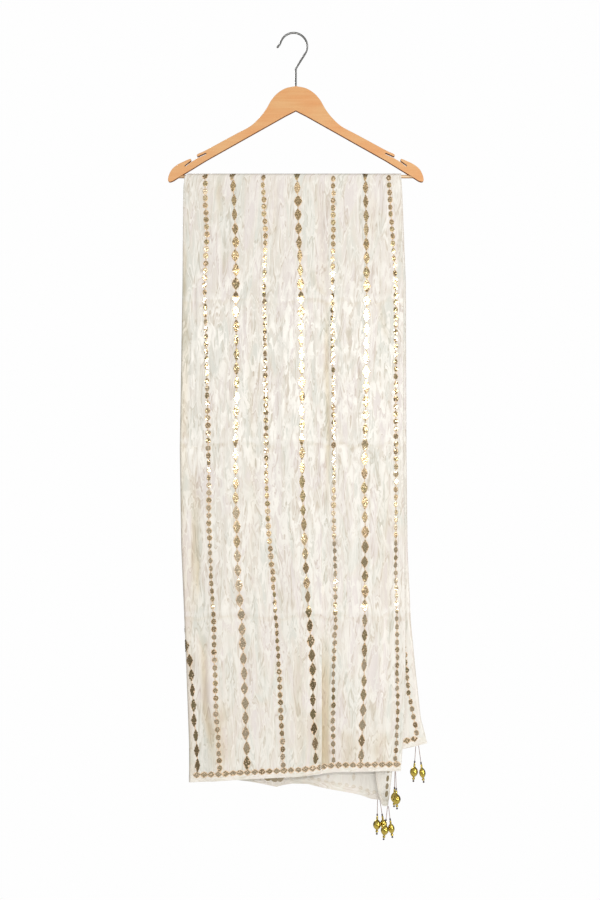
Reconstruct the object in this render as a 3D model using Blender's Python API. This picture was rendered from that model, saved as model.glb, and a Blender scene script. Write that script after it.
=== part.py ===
"""Dupatta stole hung on a notched wooden hanger.

Metres, +Z up, the front of the cloth towards -Y. The origin is the inside top of the hook,
where a rail carries it. The stole is folded once lengthwise, with the fold at -X and both long
free edges at +X, and hangs over the trouser bar. That gives four stretches, from front to back:
front outer, front inner, back inner and back outer. Each ends in a turned hem band, and a pair
of beaded tassels hangs from each of the four corners.
"""

from collections import namedtuple
from math import asin, cos, pi, radians, sin

import bmesh
import bpy
import numpy as np
from mathutils import Vector



def table(kind, *rows):
    """Return a short table whose rows have the kind's named columns."""
    return tuple(kind(*row) for row in rows)


GAP = 0.0003                # clearance between pieces that touch
SHARP_ANGLE = radians(40)   # edges that turn by more than this stay crisp

# ---------------------------------------------------------------- hanger
HANGER_X = 0.0039       # the arms' centre line, beside the hook's top
PLATE_THICKNESS = 0.012
PLATE_EASE = 0.0012     # rounding of the plate's rim
EASE_ANGLE = radians(60)    # only corners sharper than this are rounded
CURVE_STEPS = 3         # straight pieces between two points of a curved stretch

# One arm's outline. across is the distance from the centre line, level the height.
OutlinePoint = namedtuple("OutlinePoint", "across level")
ARM_TOP = table(
    OutlinePoint,
    (0.0000, -0.0932),      # crown
    (0.0173, -0.0968),
    (0.0314, -0.1050),
    (0.0425, -0.1170),      # neck
    (0.0526, -0.1343),
    (0.0640, -0.1490),
    (0.0808, -0.1643),
    (0.1091, -0.1795),
    (0.1585, -0.2062),
    (0.1710, -0.2118),      # inner finger
)
INNER_NOTCH = table(
    OutlinePoint,
    (0.1742, -0.2142),      # finger tip
    (0.1740, -0.2165),
    (0.1722, -0.2170),
    (0.1590, -0.2110),      # slot end
    (0.1578, -0.2122),
    (0.1586, -0.2136),
    (0.1722, -0.2197),      # back along the arm
)
OUTER_NOTCH = table(
    OutlinePoint,
    (0.1860, -0.2280),
    (0.1940, -0.2345),      # slot end
    (0.1955, -0.2342),
    (0.1953, -0.2325),
    (0.1853, -0.2250),      # finger tip
    (0.1845, -0.2228),
    (0.1862, -0.2214),
)
ARM_END = table(
    OutlinePoint,
    (0.1945, -0.2246),      # shoulder
    (0.2079, -0.2312),
    (0.2180, -0.2395),
    (0.2236, -0.2500),
    (0.2252, -0.2590),      # end of the arm
    (0.2225, -0.2617),
    (0.2165, -0.2600),
    (0.2088, -0.2552),
)
ARM_UNDERSIDE = table(
    OutlinePoint,
    (0.1585, -0.2243),
    (0.0180, -0.1453),
    (0.0000, -0.1362),      # inner corner
)

WIRE_RADIUS = 0.0018
WIRE_SIDES = 10
HOOK_RADIUS = 0.0240        # to the middle of the wire
HOOK_STEPS = 20
HOOK_END_ANGLE = radians(162)
HOOK_LEAVE_ANGLE = radians(-32)
HOOK_FLARE_RADIUS = 0.0177
HOOK_FLARE_TURN = radians(27)
HOOK_TIP_RADIUS = 0.0023
TIP_STEPS = 6
BEND_STEPS = 5              # in the flare and in the shank's bend
SHANK_BEND_RADIUS = 0.0080
SHANK_DEPTH = 0.0220        # how far the shank goes into the crown
SHANK_BOTTOM = ARM_TOP[0].level - SHANK_DEPTH

BAR_RADIUS = 0.0030
BAR_LEVEL = -0.2519
BAR_HALF_LENGTH = 0.2132
BAR_SOCKET_START = 0.1700   # from the centre line, in the open space beside the arm
BAR_SIDES = 16

# ---------------------------------------------------------------- cloth
WALL = 0.0010               # thickness of a stretch
HEM_WALL = 0.0014           # the turned, doubled hem
HEM_WIDTH = 0.0120
BAR_CLEARANCE = BAR_RADIUS + GAP
CREST_TURN = (3.5, 8.0, 35.0, 62.5, 90.0)   # degrees round the bar, from its crest
LAYER_PITCH = WALL + GAP    # tight over the bar
PLEAT_RADIUS = 0.0011       # the turns inside the pleat
TURN_STEPS = 3              # straight pieces in one half turn of cloth
FOLD_LEAD = 0.0020          # flat strip between the fold's half turn and the inner stretch

# How the layers stand off the bar's plane, outwards from it: how far the inner layer lags
# behind a straight fall, how far the two layers open, how far the foot flares and how high the
# upright ripples grow. Each grows between a pair of drops below the cloth's top edge.
Stand = namedtuple("Stand", "lag opening flare ripple ripple_drops")
FRONT_STAND = Stand(lag=0.0, opening=0.0064, flare=0.0040, ripple=0.0022, ripple_drops=(0.02, 0.35))
BACK_STAND = Stand(lag=0.0060, opening=0.0047, flare=0.0, ripple=0.0085, ripple_drops=(0.05, 0.95))
LAG_DROPS = (0.10, 0.90)
OPENING_DROPS = (0.005, 0.30)
FLARE_DROPS = (0.50, 1.05)

# The upright ripples: share of the height, length across, phase and the phase's drift downwards.
Wave = namedtuple("Wave", "share length phase drift")
FRONT_WAVES = table(Wave, (0.6, 0.113, 0.6, 1.1), (0.4, 0.071, 2.1, -1.7))
BACK_WAVES = table(Wave, (0.7, 0.128, 2.0, 0.5), (0.3, 0.083, 0.4, -0.8))

# The sides of the cloth at each drop below its top edge.
Side = namedtuple("Side", "drop fold inner_edge outer_edge")
FRONT_SIDES = table(
    Side,
    (0.0000, -0.1860, 0.1890, 0.1890),
    (0.0051, -0.1920, 0.1890, 0.1890),
    (0.0300, -0.1944, 0.1910, 0.1885),
    (0.1950, -0.1954, 0.1975, 0.1935),
    (0.4850, -0.2000, 0.1985, 0.1925),
    (0.6550, -0.1976, 0.2003, 0.1950),
    (0.7900, -0.1917, 0.2060, 0.1965),
    (0.8750, -0.1883, 0.2143, 0.1965),
    (0.9600, -0.1852, 0.2235, 0.1945),
    (1.0040, -0.1836, 0.2355, 0.1916),
    (1.0750, -0.1835, 0.2545, 0.1870),
)
BACK_SIDES = table(
    Side,
    (0.0000, -0.1860, 0.1890, 0.1890),
    (0.0051, -0.1920, 0.1890, 0.1890),
    (0.0300, -0.1944, 0.1900, 0.1885),
    (0.6000, -0.1935, 0.1890, 0.1880),
    (0.9000, -0.1860, 0.1850, 0.1840),
    (1.0500, -0.1830, 0.1750, 0.1700),
    (1.1200, -0.1820, 0.1670, 0.1610),
)

Face = namedtuple("Face", "outward sides stand waves")
FACES = {
    "front": Face(-1.0, FRONT_SIDES, FRONT_STAND, FRONT_WAVES),
    "back": Face(1.0, BACK_SIDES, BACK_STAND, BACK_WAVES),
}

# The hem's lower edge, from the fold (across 0) to the free edge (across 1).
HemPoint = namedtuple("HemPoint", "across drop")
HEMS = {
    "front_outer": table(HemPoint, (0.00, 1.0715), (0.53, 1.0612), (0.70, 1.0540), (1.00, 1.0525)),
    "front_inner": table(HemPoint, (0.00, 1.0715), (0.89, 1.0140), (1.00, 1.0035)),
    "back_inner": table(HemPoint, (0.00, 1.0640), (0.29, 1.0738), (0.44, 1.0852), (0.47, 1.0827),
                        (0.55, 1.0510), (0.94, 1.0500), (0.97, 1.0933), (1.00, 1.1181)),
    "back_outer": table(HemPoint, (0.00, 1.0640), (0.29, 1.0751), (0.37, 1.0787), (0.45, 1.0850),
                        (0.53, 1.0804), (0.61, 1.0804), (0.69, 1.0865), (0.90, 1.1010),
                        (0.96, 1.1071), (1.00, 1.1080)),
}
HEM_LINE_DROP = 1.0         # the section whose columns the hem line is read at

# The soft pleat of the front outer stretch, a narrow Z of cloth that lies under its left part.
PLEAT_X = 0.0495            # its visible edge
PLEAT_TURN_DROPS = (0.640, 0.740)   # where the cloth starts to turn and has turned back
PLEAT_BACK = 0.0120         # how far it runs back under itself near the hem
PLEAT_FULL_DROP = 1.05

# Creases left by folding in store: drop, height outwards and half width.
Crease = namedtuple("Crease", "drop height reach")
STORE_CREASES = (
    Crease(drop=0.218, height=0.0009, reach=0.010),
    Crease(drop=0.470, height=0.0008, reach=0.010),
    Crease(drop=0.772, height=0.0012, reach=0.012),
)

# The soft diagonal fold at the lower left of the front outer stretch.
FoldPoint = namedtuple("FoldPoint", "drop x")
DIAGONAL_FOLD = table(
    FoldPoint, (0.800, -0.1850), (0.900, -0.1510), (0.960, -0.1405), (1.060, -0.1390))
DIAGONAL_HEIGHT = 0.0026
DIAGONAL_REACH = 0.014
DIAGONAL_DROPS = (0.80, 0.87)

# Columns of each stretch, and rows of the part that hangs free as shares of its length.
LEFT_COLUMNS = 12
RIGHT_COLUMNS = 8
BACK_OUTER_COLUMNS = 24
INNER_COLUMNS = {"front": 20, "back": 28}
HANG_ROWS = (0.023, 0.09, 0.195, 0.205, 0.215, 0.30, 0.43, 0.4425, 0.455, 0.56, 0.61, 0.645,
             0.68, 0.722, 0.735, 0.80, 0.87, 0.94, 1.0)

# ---------------------------------------------------------------- tassels
THREAD_RADIUS = 0.0005
THREAD_STEP = 0.0032
BORE_RADIUS = THREAD_RADIUS + GAP
BARREL_END = 0.62           # a small bead's radius at its ends, as a share of its middle's
BARREL_STEPS = 4
SEED_HEIGHT = 0.0045
SEED_RADIUS = 0.0014
DROP_HEIGHT = 0.0240
DROP_NECK = ((0.0000, 0.0015), (0.0030, 0.0017))    # along the neck, and its radius there
DROP_SHOULDER = (0.0058, 0.45)      # along, and radius as a share of the body's
DROP_BODY_START = 0.0060
DROP_BODY_ARC = (radians(32), radians(158))         # of the ellipse that the body follows
DROP_BODY_STEPS = 6
DROP_FOOT_RADIUS = 0.0018
END_HEIGHT = 0.0048
END_RADIUS = 0.0024
TIP_HEIGHT = 0.0034
TIP_RADIUS = 0.0017
TIP_POINT_RADIUS = 0.0002
DROP_SIDES = 12
SMALL_SIDES = 8

# Each tassel's name and the stretch whose hem it hangs from, its x on the hem, how far its
# drop bead's middle swings in x and y, its free thread above the beads and that bead's radius.
Tassel = namedtuple("Tassel", "name stretch x swing_x swing_y thread bead")
TASSELS = table(
    Tassel,
    ("front_inner_a", "front_inner", 0.2150, -0.0029, 0.0000, 0.0252, 0.0070),
    ("front_inner_b", "front_inner", 0.2200, 0.0062, 0.0000, 0.0285, 0.0056),
    ("front_outer_a", "front_outer", 0.1795, 0.0013, -0.0067, 0.0282, 0.0070),
    ("front_outer_b", "front_outer", 0.1783, -0.0008, 0.0067, 0.0280, 0.0062),
    ("back_outer_a", "back_outer", 0.1490, -0.0010, -0.0010, 0.0245, 0.0070),
    ("back_outer_b", "back_outer", 0.1530, 0.0065, 0.0069, 0.0262, 0.0060),
    ("back_inner_a", "back_inner", 0.1664, -0.0047, -0.0006, 0.0228, 0.0070),
    ("back_inner_b", "back_inner", 0.1680, 0.0049, 0.0070, 0.0225, 0.0058),
)

# ---------------------------------------------------------------- colours, roughness, metallic
FINISHES = {
    "wood": ((0.80, 0.47, 0.20, 1.0), 0.50, 0.0),
    "bar_wood": ((0.83, 0.63, 0.38, 1.0), 0.55, 0.0),
    "chrome": ((0.55, 0.55, 0.55, 1.0), 0.20, 1.0),
    "tissue": ((0.86, 0.83, 0.77, 1.0), 0.45, 0.0),
    "tissue_inner": ((0.78, 0.75, 0.69, 1.0), 0.50, 0.0),
    "hem": ((0.84, 0.79, 0.72, 1.0), 0.45, 0.0),
    "thread": ((0.38, 0.22, 0.16, 1.0), 0.80, 0.0),
    "seed_bead": ((0.10, 0.07, 0.04, 1.0), 0.30, 0.0),
    "gold_bead": ((0.68, 0.50, 0.14, 1.0), 0.22, 1.0),
}


def clear_scene():
    """Remove whatever the scene holds."""
    for item in list(bpy.data.objects):
        bpy.data.objects.remove(item, do_unlink=True)


def finish_material(name):
    """Return the named finish, made the first time it is asked for."""
    material = bpy.data.materials.get(name)
    if material is None:
        colour, roughness, metallic = FINISHES[name]
        material = bpy.data.materials.new(name)
        material.use_nodes = True
        shader = material.node_tree.nodes["Principled BSDF"]
        shader.inputs["Base Color"].default_value = colour
        shader.inputs["Roughness"].default_value = roughness
        shader.inputs["Metallic"].default_value = metallic
        material.diffuse_color = colour
    return material


def add_object(name, data, finish):
    """Link an object made from mesh or curve data and give it its finish."""
    item = bpy.data.objects.new(name, data)
    bpy.context.scene.collection.objects.link(item)
    data.materials.append(finish_material(finish))
    return item


def mesh_object(name, points, faces, finish, smooth=True):
    """Make an object from points and faces, with its normals made to point out."""
    mesh = bpy.data.meshes.new(name)
    mesh.from_pydata([tuple(point) for point in points], [], faces)
    work = bmesh.new()
    work.from_mesh(mesh)
    bmesh.ops.recalc_face_normals(work, faces=work.faces)
    work.to_mesh(mesh)
    work.free()
    if smooth:
        mesh.shade_smooth()
        mesh.set_sharp_from_angle(angle=SHARP_ANGLE)
    return add_object(name, mesh, finish)


def smooth_step(value, low, high):
    """Rise from 0 at low to 1 at high with level ends."""
    share = np.clip((np.asarray(value, dtype=float) - low) / (high - low), 0.0, 1.0)
    return share * share * (3.0 - 2.0 * share)


def ring_faces(ring_count, side_count, closed_path=False):
    """Return the quads that join ring after ring of side_count points."""
    faces = []
    for ring in range(ring_count if closed_path else ring_count - 1):
        start, follow = ring * side_count, (ring + 1) % ring_count * side_count
        for side in range(side_count):
            beside = (side + 1) % side_count
            faces.append((start + side, start + beside, follow + beside, follow + side))
    return faces


# ================================================================ hanger
def through_points(points):
    """Carry a Catmull-Rom curve through the points and return it as short straight pieces."""
    spots = [Vector(point) for point in points]
    padded = [2 * spots[0] - spots[1]] + spots + [2 * spots[-1] - spots[-2]]
    curve = []
    for before, start, end, after in zip(padded, padded[1:], padded[2:], padded[3:]):
        for step in range(CURVE_STEPS):
            share = step / CURVE_STEPS
            curve.append(0.5 * (2 * start + (end - before) * share
                                + (2 * before - 5 * start + 4 * end - after) * share ** 2
                                + (3 * start - before - 3 * end + after) * share ** 3))
    return curve + [spots[-1]]


def arm_outline():
    """Return one arm's outline from the crown round the end to the inner corner."""
    outline = through_points(ARM_TOP)
    outline += [Vector(point) for point in INNER_NOTCH]
    outline += [Vector(point) for point in OUTER_NOTCH]
    outline += through_points(ARM_END)
    outline += [Vector(point) for point in ARM_UNDERSIDE]
    return outline


def cylinder_cutter(name, radius, start, end):
    """Make a hidden cylinder from start to end, to cut a bore with."""
    axis = Vector(end) - Vector(start)
    work = bmesh.new()
    bmesh.ops.create_cone(work, cap_ends=True, segments=BAR_SIDES, radius1=radius,
                          radius2=radius, depth=axis.length)
    mesh = bpy.data.meshes.new(name)
    work.to_mesh(mesh)
    work.free()
    cutter = bpy.data.objects.new(name, mesh)
    bpy.context.scene.collection.objects.link(cutter)
    cutter.location = (Vector(start) + Vector(end)) / 2
    cutter.rotation_mode = "QUATERNION"
    cutter.rotation_quaternion = axis.to_track_quat("Z", "Y")
    cutter.hide_render = True
    cutter.display_type = "WIRE"
    return cutter


def cut_with(item, cutter):
    """Cut the cutter's shape out of the item."""
    cut = item.modifiers.new(cutter.name, "BOOLEAN")
    cut.operation = "DIFFERENCE"
    cut.object = cutter


def make_hanger_frame():
    """Make the flat wooden plate with its notched arms, shank bore and bar sockets."""
    arm = arm_outline()
    outline = [(HANGER_X + across, level) for across, level in arm]
    outline += [(HANGER_X - across, level) for across, level in reversed(arm[1:-1])]
    half = PLATE_THICKNESS / 2
    count = len(outline)
    points = [(x, -half, z) for x, z in outline] + [(x, half, z) for x, z in outline]
    faces = [tuple(range(count)), tuple(range(count, 2 * count))]
    faces += [(k, (k + 1) % count, count + (k + 1) % count, count + k) for k in range(count)]
    plate = mesh_object("hanger_frame", points, faces, "wood")
    ease = plate.modifiers.new("eased_rim", "BEVEL")
    ease.width = PLATE_EASE
    ease.segments = 1
    ease.limit_method = "ANGLE"
    ease.angle_limit = EASE_ANGLE
    crown = ARM_TOP[0].level
    cut_with(plate, cylinder_cutter("shank_bore", WIRE_RADIUS + GAP,
                                    (HANGER_X, 0, SHANK_BOTTOM - GAP), (HANGER_X, 0, crown + 0.01)))
    for side in (-1, 1):
        end = HANGER_X + side * (BAR_HALF_LENGTH + GAP)
        inner = HANGER_X + side * BAR_SOCKET_START
        cut_with(plate, cylinder_cutter(f"bar_socket_{side}", BAR_RADIUS + GAP,
                                        (inner, 0, BAR_LEVEL), (end, 0, BAR_LEVEL)))
    return plate


def hook_path():
    """Return the wire's middle line (x, z) and radius from the ball tip to the shank's end.

    The open end flares out on a reversed arc, the hook is an arc about a point straight below
    the origin, and a straight run and a short bend bring the wire over the arms' centre line.
    """
    centre = (0.0, WIRE_RADIUS - HOOK_RADIUS)
    arc = [(centre[0] + HOOK_RADIUS * cos(turn), centre[1] + HOOK_RADIUS * sin(turn))
           for turn in np.linspace(HOOK_END_ANGLE, HOOK_LEAVE_ANGLE, HOOK_STEPS)]
    reach = HOOK_RADIUS + HOOK_FLARE_RADIUS
    flare_centre = (centre[0] + reach * cos(HOOK_END_ANGLE), centre[1] + reach * sin(HOOK_END_ANGLE))
    facing = HOOK_END_ANGLE - pi
    flare = [(flare_centre[0] + HOOK_FLARE_RADIUS * cos(facing - turn),
              flare_centre[1] + HOOK_FLARE_RADIUS * sin(facing - turn))
             for turn in np.linspace(HOOK_FLARE_TURN, 0.0, BEND_STEPS)[:-1]]
    slant = HOOK_LEAVE_ANGLE - pi / 2
    run = (arc[-1][0] - HANGER_X) / -cos(slant)
    corner = (HANGER_X, arc[-1][1] + run * sin(slant))
    bend_turn = -pi / 2 - slant
    setback = SHANK_BEND_RADIUS * np.tan(bend_turn / 2)
    bend_middle = (HANGER_X + SHANK_BEND_RADIUS, corner[1] - setback)
    bend = [(bend_middle[0] + SHANK_BEND_RADIUS * cos(pi - bend_turn + turn),
             bend_middle[1] + SHANK_BEND_RADIUS * sin(pi - bend_turn + turn))
            for turn in np.linspace(0.0, bend_turn, BEND_STEPS)]
    shank = [(HANGER_X, ARM_TOP[0].level), (HANGER_X, SHANK_BOTTOM)]
    path = flare + arc + bend + shank
    return path, [WIRE_RADIUS] * len(path)


def ball_tip(path):
    """Return rings of a ball before the path's first point, as (x, z) places and radii.

    The ball's surface meets the wire's where its ring is as wide as the wire.
    """
    start, follow = Vector(path[0]), Vector(path[1])
    back = (start - follow).normalized()
    meet = pi - asin(WIRE_RADIUS / HOOK_TIP_RADIUS)
    places, radii = [], []
    for turn in np.linspace(0.0, meet, TIP_STEPS + 1)[1:-1]:
        places.append(tuple(start + back * (HOOK_TIP_RADIUS * (cos(turn) - cos(meet)))))
        radii.append(HOOK_TIP_RADIUS * sin(turn))
    return places, radii


def make_hook():
    """Sweep the wire along its path, with a ball tip at the open end."""
    path, radii = hook_path()
    tip_places, tip_radii = ball_tip(path)
    path, radii = tip_places + path, tip_radii + radii
    points = []
    for place in range(len(path)):
        before = Vector(path[max(place - 1, 0)])
        after = Vector(path[min(place + 1, len(path) - 1)])
        along = (after - before).normalized()
        for side in range(WIRE_SIDES):
            turn = 2 * pi * side / WIRE_SIDES
            out = radii[place] * cos(turn)
            points.append((path[place][0] - along[1] * out, radii[place] * sin(turn),
                           path[place][1] + along[0] * out))
    faces = ring_faces(len(path), WIRE_SIDES)
    faces += [tuple(range(WIRE_SIDES)), tuple(range(len(points) - WIRE_SIDES, len(points)))]
    return mesh_object("hanger_hook", points, faces, "chrome")


def make_bar():
    """Make the trouser bar, a plain dowel between its two sockets."""
    points = []
    for x in (HANGER_X - BAR_HALF_LENGTH, HANGER_X + BAR_HALF_LENGTH):
        for side in range(BAR_SIDES):
            turn = 2 * pi * (side + 0.5) / BAR_SIDES
            points.append((x, BAR_RADIUS * cos(turn), BAR_LEVEL + BAR_RADIUS * sin(turn)))
    faces = ring_faces(2, BAR_SIDES)
    faces += [tuple(range(BAR_SIDES)), tuple(range(BAR_SIDES, 2 * BAR_SIDES))]
    return mesh_object("hanger_bar", points, faces, "bar_wood")


# ================================================================ cloth
TOP_LEVEL = BAR_LEVEL + BAR_CLEARANCE + WALL / 2 + LAYER_PITCH    # the outer layer's crest


def side_at(sides, drop, column):
    """Return a side's x at a drop, straight between the table's rows."""
    return np.interp(drop, [row.drop for row in sides], [getattr(row, column) for row in sides])


def layer_depths(stand, drop):
    """Return how far the inner and the outer layer's middles stand outwards of the clearance."""
    inner = WALL / 2 + stand.lag * float(smooth_step(drop, *LAG_DROPS))
    return inner, inner + LAYER_PITCH + stand.opening * float(smooth_step(drop, *OPENING_DROPS))


def relief(face, x, drop):
    """Return the outward swell that both layers of one face share.

    It adds soft upright ripples, the creases left by folding, the foot's flare and, on the
    front, the diagonal fold.
    """
    stand = FACES[face].stand
    wave = sum(row.share * np.sin(2 * pi * x / row.length + row.phase + row.drift * drop)
               for row in FACES[face].waves)
    swell = stand.ripple * smooth_step(drop, *stand.ripple_drops) * (1.0 + wave) / 2
    swell = swell + stand.flare * smooth_step(drop, *FLARE_DROPS)
    for crease in STORE_CREASES:
        swell = swell + crease.height * np.clip(1 - np.abs(drop - crease.drop) / crease.reach, 0, 1)
    if face == "front":
        fold_x = np.interp(drop, [row.drop for row in DIAGONAL_FOLD],
                           [row.x for row in DIAGONAL_FOLD])
        near = np.exp(-((x - fold_x) / DIAGONAL_REACH) ** 2)
        swell = swell + DIAGONAL_HEIGHT * near * smooth_step(drop, *DIAGONAL_DROPS)
    return swell


def fold_turn(fold_x, inner_depth, outer_depth):
    """Return the half turn at the lengthwise fold, from the inner layer to the outer one."""
    radius = (outer_depth - inner_depth) / 2
    middle = (outer_depth + inner_depth) / 2
    arc = [(fold_x + radius - radius * sin(turn), middle - radius * cos(turn))
           for turn in np.linspace(0.0, pi, TURN_STEPS + 1)]
    return [(fold_x + radius + FOLD_LEAD, inner_depth)] + arc


def pleat_path(drop):
    """Return the pleat's section as (x, depth) steps from its start at depth 0.

    The cloth turns inwards by up to half a turn, runs straight and turns back by as much, so
    it lies flat where the turn is nought and in three layers where it is a half turn.
    """
    turned = pi * float(smooth_step(drop, *PLEAT_TURN_DROPS))
    back = PLEAT_BACK * float(smooth_step(drop, PLEAT_TURN_DROPS[-1], PLEAT_FULL_DROP))
    step = PLEAT_RADIUS * pi / TURN_STEPS
    half = np.linspace(0.0, turned, 2 * TURN_STEPS + 1)[1::2]
    runs = [(turn, step) for turn in half] + [(turned, max(back, step / 4))]
    runs += [(turn, step) for turn in half[::-1]]
    x, depth, path = 0.0, 0.0, [(0.0, 0.0)]
    for turn, length in runs:
        x += length * cos(turn)
        depth -= length * sin(turn)
        path.append((x, depth))
    edge = max(place[0] for place in path[:TURN_STEPS + 1])
    return [(place[0] - edge, place[1]) for place in path]


def outer_section(face, drop):
    """Return an outer stretch's section as arrays of x and depth, with its fold's half turn."""
    sides = FACES[face].sides
    inner, outer = layer_depths(FACES[face].stand, drop)
    turn = fold_turn(float(side_at(sides, drop, "fold")), inner, outer)
    edge = float(side_at(sides, drop, "outer_edge"))
    if face == "back":
        run = np.linspace(turn[-1][0], edge, BACK_OUTER_COLUMNS + 1)[1:]
        return np.array(turn + [(x, outer) for x in run])
    pleat = [(PLEAT_X + x, outer + depth) for x, depth in pleat_path(drop)]
    left = np.linspace(turn[-1][0], pleat[0][0], LEFT_COLUMNS + 1)[1:-1]
    right = np.linspace(pleat[-1][0], edge, RIGHT_COLUMNS + 1)[1:]
    return np.array(turn + [(x, outer) for x in left] + pleat
                    + [(x, pleat[-1][1]) for x in right])


def inner_section(face, drop):
    """Return an inner stretch's section, from beside the fold's half turn to its free edge."""
    sides = FACES[face].sides
    inner, outer = layer_depths(FACES[face].stand, drop)
    start = float(side_at(sides, drop, "fold")) + (outer - inner) / 2 + FOLD_LEAD + GAP
    edge = float(side_at(sides, drop, "inner_edge"))
    return np.array([(x, inner) for x in np.linspace(start, edge, INNER_COLUMNS[face] + 1)])


def section(stretch, drop):
    """Return a stretch's section at a drop."""
    face, layer = stretch.split("_")
    return outer_section(face, drop) if layer == "outer" else inner_section(face, drop)


def hem_drop(stretch, x):
    """Return the drop of a stretch's lower edge at an x."""
    face, layer = stretch.split("_")
    sides = FACES[face].sides
    low = HEMS[stretch][-1].drop
    fold, edge = side_at(sides, low, "fold"), side_at(sides, low, layer + "_edge")
    across, drops = zip(*HEMS[stretch])
    return np.interp((x - fold) / (edge - fold), across, drops)


def sheet_point(face, x, depth, drop):
    """Place section points of the hanging part in space."""
    y = FACES[face].outward * (BAR_CLEARANCE + depth + relief(face, x, drop))
    return np.stack([x, y, TOP_LEVEL - drop], axis=-1)


def crest_rows(stretch):
    """Return the rows that wrap the bar, from near its crest to its side."""
    outward = FACES[stretch.split("_")[0]].outward
    outer_radius = BAR_CLEARANCE + WALL / 2 + LAYER_PITCH
    rows = []
    for degrees in CREST_TURN:
        turn = radians(degrees)
        cut = section(stretch, outer_radius * (1 - cos(turn)))
        reach = BAR_CLEARANCE + cut[:, 1]
        rows.append(np.stack([cut[:, 0], outward * reach * sin(turn),
                              BAR_LEVEL + reach * cos(turn)], axis=-1))
    return rows


def hanging_row(stretch, share, margin):
    """Return the row at a share of the way down to the hem line less the margin."""
    face = stretch.split("_")[0]
    start = TOP_LEVEL - BAR_LEVEL
    hem_x = section(stretch, HEM_LINE_DROP)[:, 0]
    drop = start + share * (hem_drop(stretch, hem_x) - margin - start)
    cuts = [section(stretch, value) for value in drop]
    cut = np.array([cuts[column][column] for column in range(len(drop))])
    return sheet_point(face, cut[:, 0], cut[:, 1], drop)


def wall_solid(name, rows, wall, finish):
    """Give a grid of middle points a thickness and close it into one solid.

    The unit normal at each point is the cross product of the grid's two directions there, and
    the two faces stand half the wall on each side of it.
    """
    middle = np.array(rows)
    down = np.gradient(middle, axis=0)
    across = np.gradient(middle, axis=1)
    normal = np.cross(across, down)
    normal /= np.linalg.norm(normal, axis=2, keepdims=True)
    row_count, column_count = middle.shape[:2]
    points = np.concatenate([(middle + normal * wall / 2).reshape(-1, 3),
                             (middle - normal * wall / 2).reshape(-1, 3)])
    shift = row_count * column_count
    index = np.arange(shift).reshape(row_count, column_count)
    faces = []
    for row in range(row_count - 1):
        for column in range(column_count - 1):
            a, b = index[row, column], index[row, column + 1]
            c, d = index[row + 1, column + 1], index[row + 1, column]
            faces += [(a, b, c), (a, c, d), (a + shift, c + shift, b + shift),
                      (a + shift, d + shift, c + shift)]
    rim = np.concatenate([index[0, :-1], index[:-1, -1], index[-1, :0:-1], index[:0:-1, 0]])
    for start, end in zip(rim, np.roll(rim, -1)):
        faces += [(start, start + shift, end + shift), (start, end + shift, end)]
    faces = [tuple(int(corner) for corner in face) for face in faces]
    return mesh_object(name, points, faces, finish)


def make_stretch(stretch):
    """Make one hanging stretch, from the bar's crest to just above its hem band."""
    rows = crest_rows(stretch)
    rows += [hanging_row(stretch, share, HEM_WIDTH + GAP) for share in HANG_ROWS]
    finish = "tissue" if stretch.endswith("outer") else "tissue_inner"
    return wall_solid("cloth_" + stretch, rows, WALL, finish)


def make_hem(stretch):
    """Make the turned hem band that continues a stretch."""
    rows = [hanging_row(stretch, 1.0, HEM_WIDTH), hanging_row(stretch, 1.0, 0.0)]
    return wall_solid("hem_" + stretch, rows, HEM_WALL, "hem")


# ================================================================ tassels
def turned_bead(name, profile, start, axis, sides, finish):
    """Turn a profile of (along, radius) pairs about an axis; a closed profile leaves a bore."""
    away = axis.orthogonal().normalized()
    beside = axis.cross(away)
    points = []
    for along, radius in profile:
        for side in range(sides):
            turn = 2 * pi * side / sides
            points.append(start + axis * along
                          + (away * cos(turn) + beside * sin(turn)) * radius)
    faces = ring_faces(len(profile), sides, closed_path=True)
    return mesh_object(name, points, faces, finish)


def bored(outer):
    """Close an outer profile with a straight bore for the thread."""
    return outer + [(outer[-1][0], BORE_RADIUS), (outer[0][0], BORE_RADIUS)]


def barrel(height, radius):
    """Return a barrel's outer profile: part of a sine arch, with flat ends round the bore."""
    return [(height * share, radius * (BARREL_END + (1.0 - BARREL_END) * sin(pi * share)))
            for share in np.linspace(0.0, 1.0, BARREL_STEPS)]


def drop_profile(radius):
    """Return the drop's outer profile: a short neck that swells into a full round body."""
    neck = [*DROP_NECK, (DROP_SHOULDER[0], DROP_SHOULDER[1] * radius)]
    middle = (DROP_HEIGHT + DROP_BODY_START) / 2
    half = (DROP_HEIGHT - DROP_BODY_START) / 2
    body = [(middle - half * cos(turn), radius * sin(turn))
            for turn in np.linspace(*DROP_BODY_ARC, DROP_BODY_STEPS)]
    return neck + body + [(DROP_HEIGHT, DROP_FOOT_RADIUS)]


def tassel_axis(tassel):
    """Return where a tassel leaves its hem and the unit direction it hangs in.

    The thread's top is a flat disc, so it starts lower where the hem slopes across it.
    """
    edge = hanging_row(tassel.stretch, 1.0, 0.0)[-RIGHT_COLUMNS:]
    beside = tassel.x + np.array([-1.5, 1.5]) * THREAD_RADIUS
    level = float(np.interp(beside, edge[:, 0], edge[:, 2]).min()) - GAP
    start = Vector((tassel.x, float(np.interp(tassel.x, edge[:, 0], edge[:, 1])), level))
    to_middle = tassel.thread + SEED_HEIGHT + DROP_HEIGHT / 2
    fall = (to_middle ** 2 - tassel.swing_x ** 2 - tassel.swing_y ** 2) ** 0.5
    return start, Vector((tassel.swing_x, tassel.swing_y, -fall)).normalized()


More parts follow.
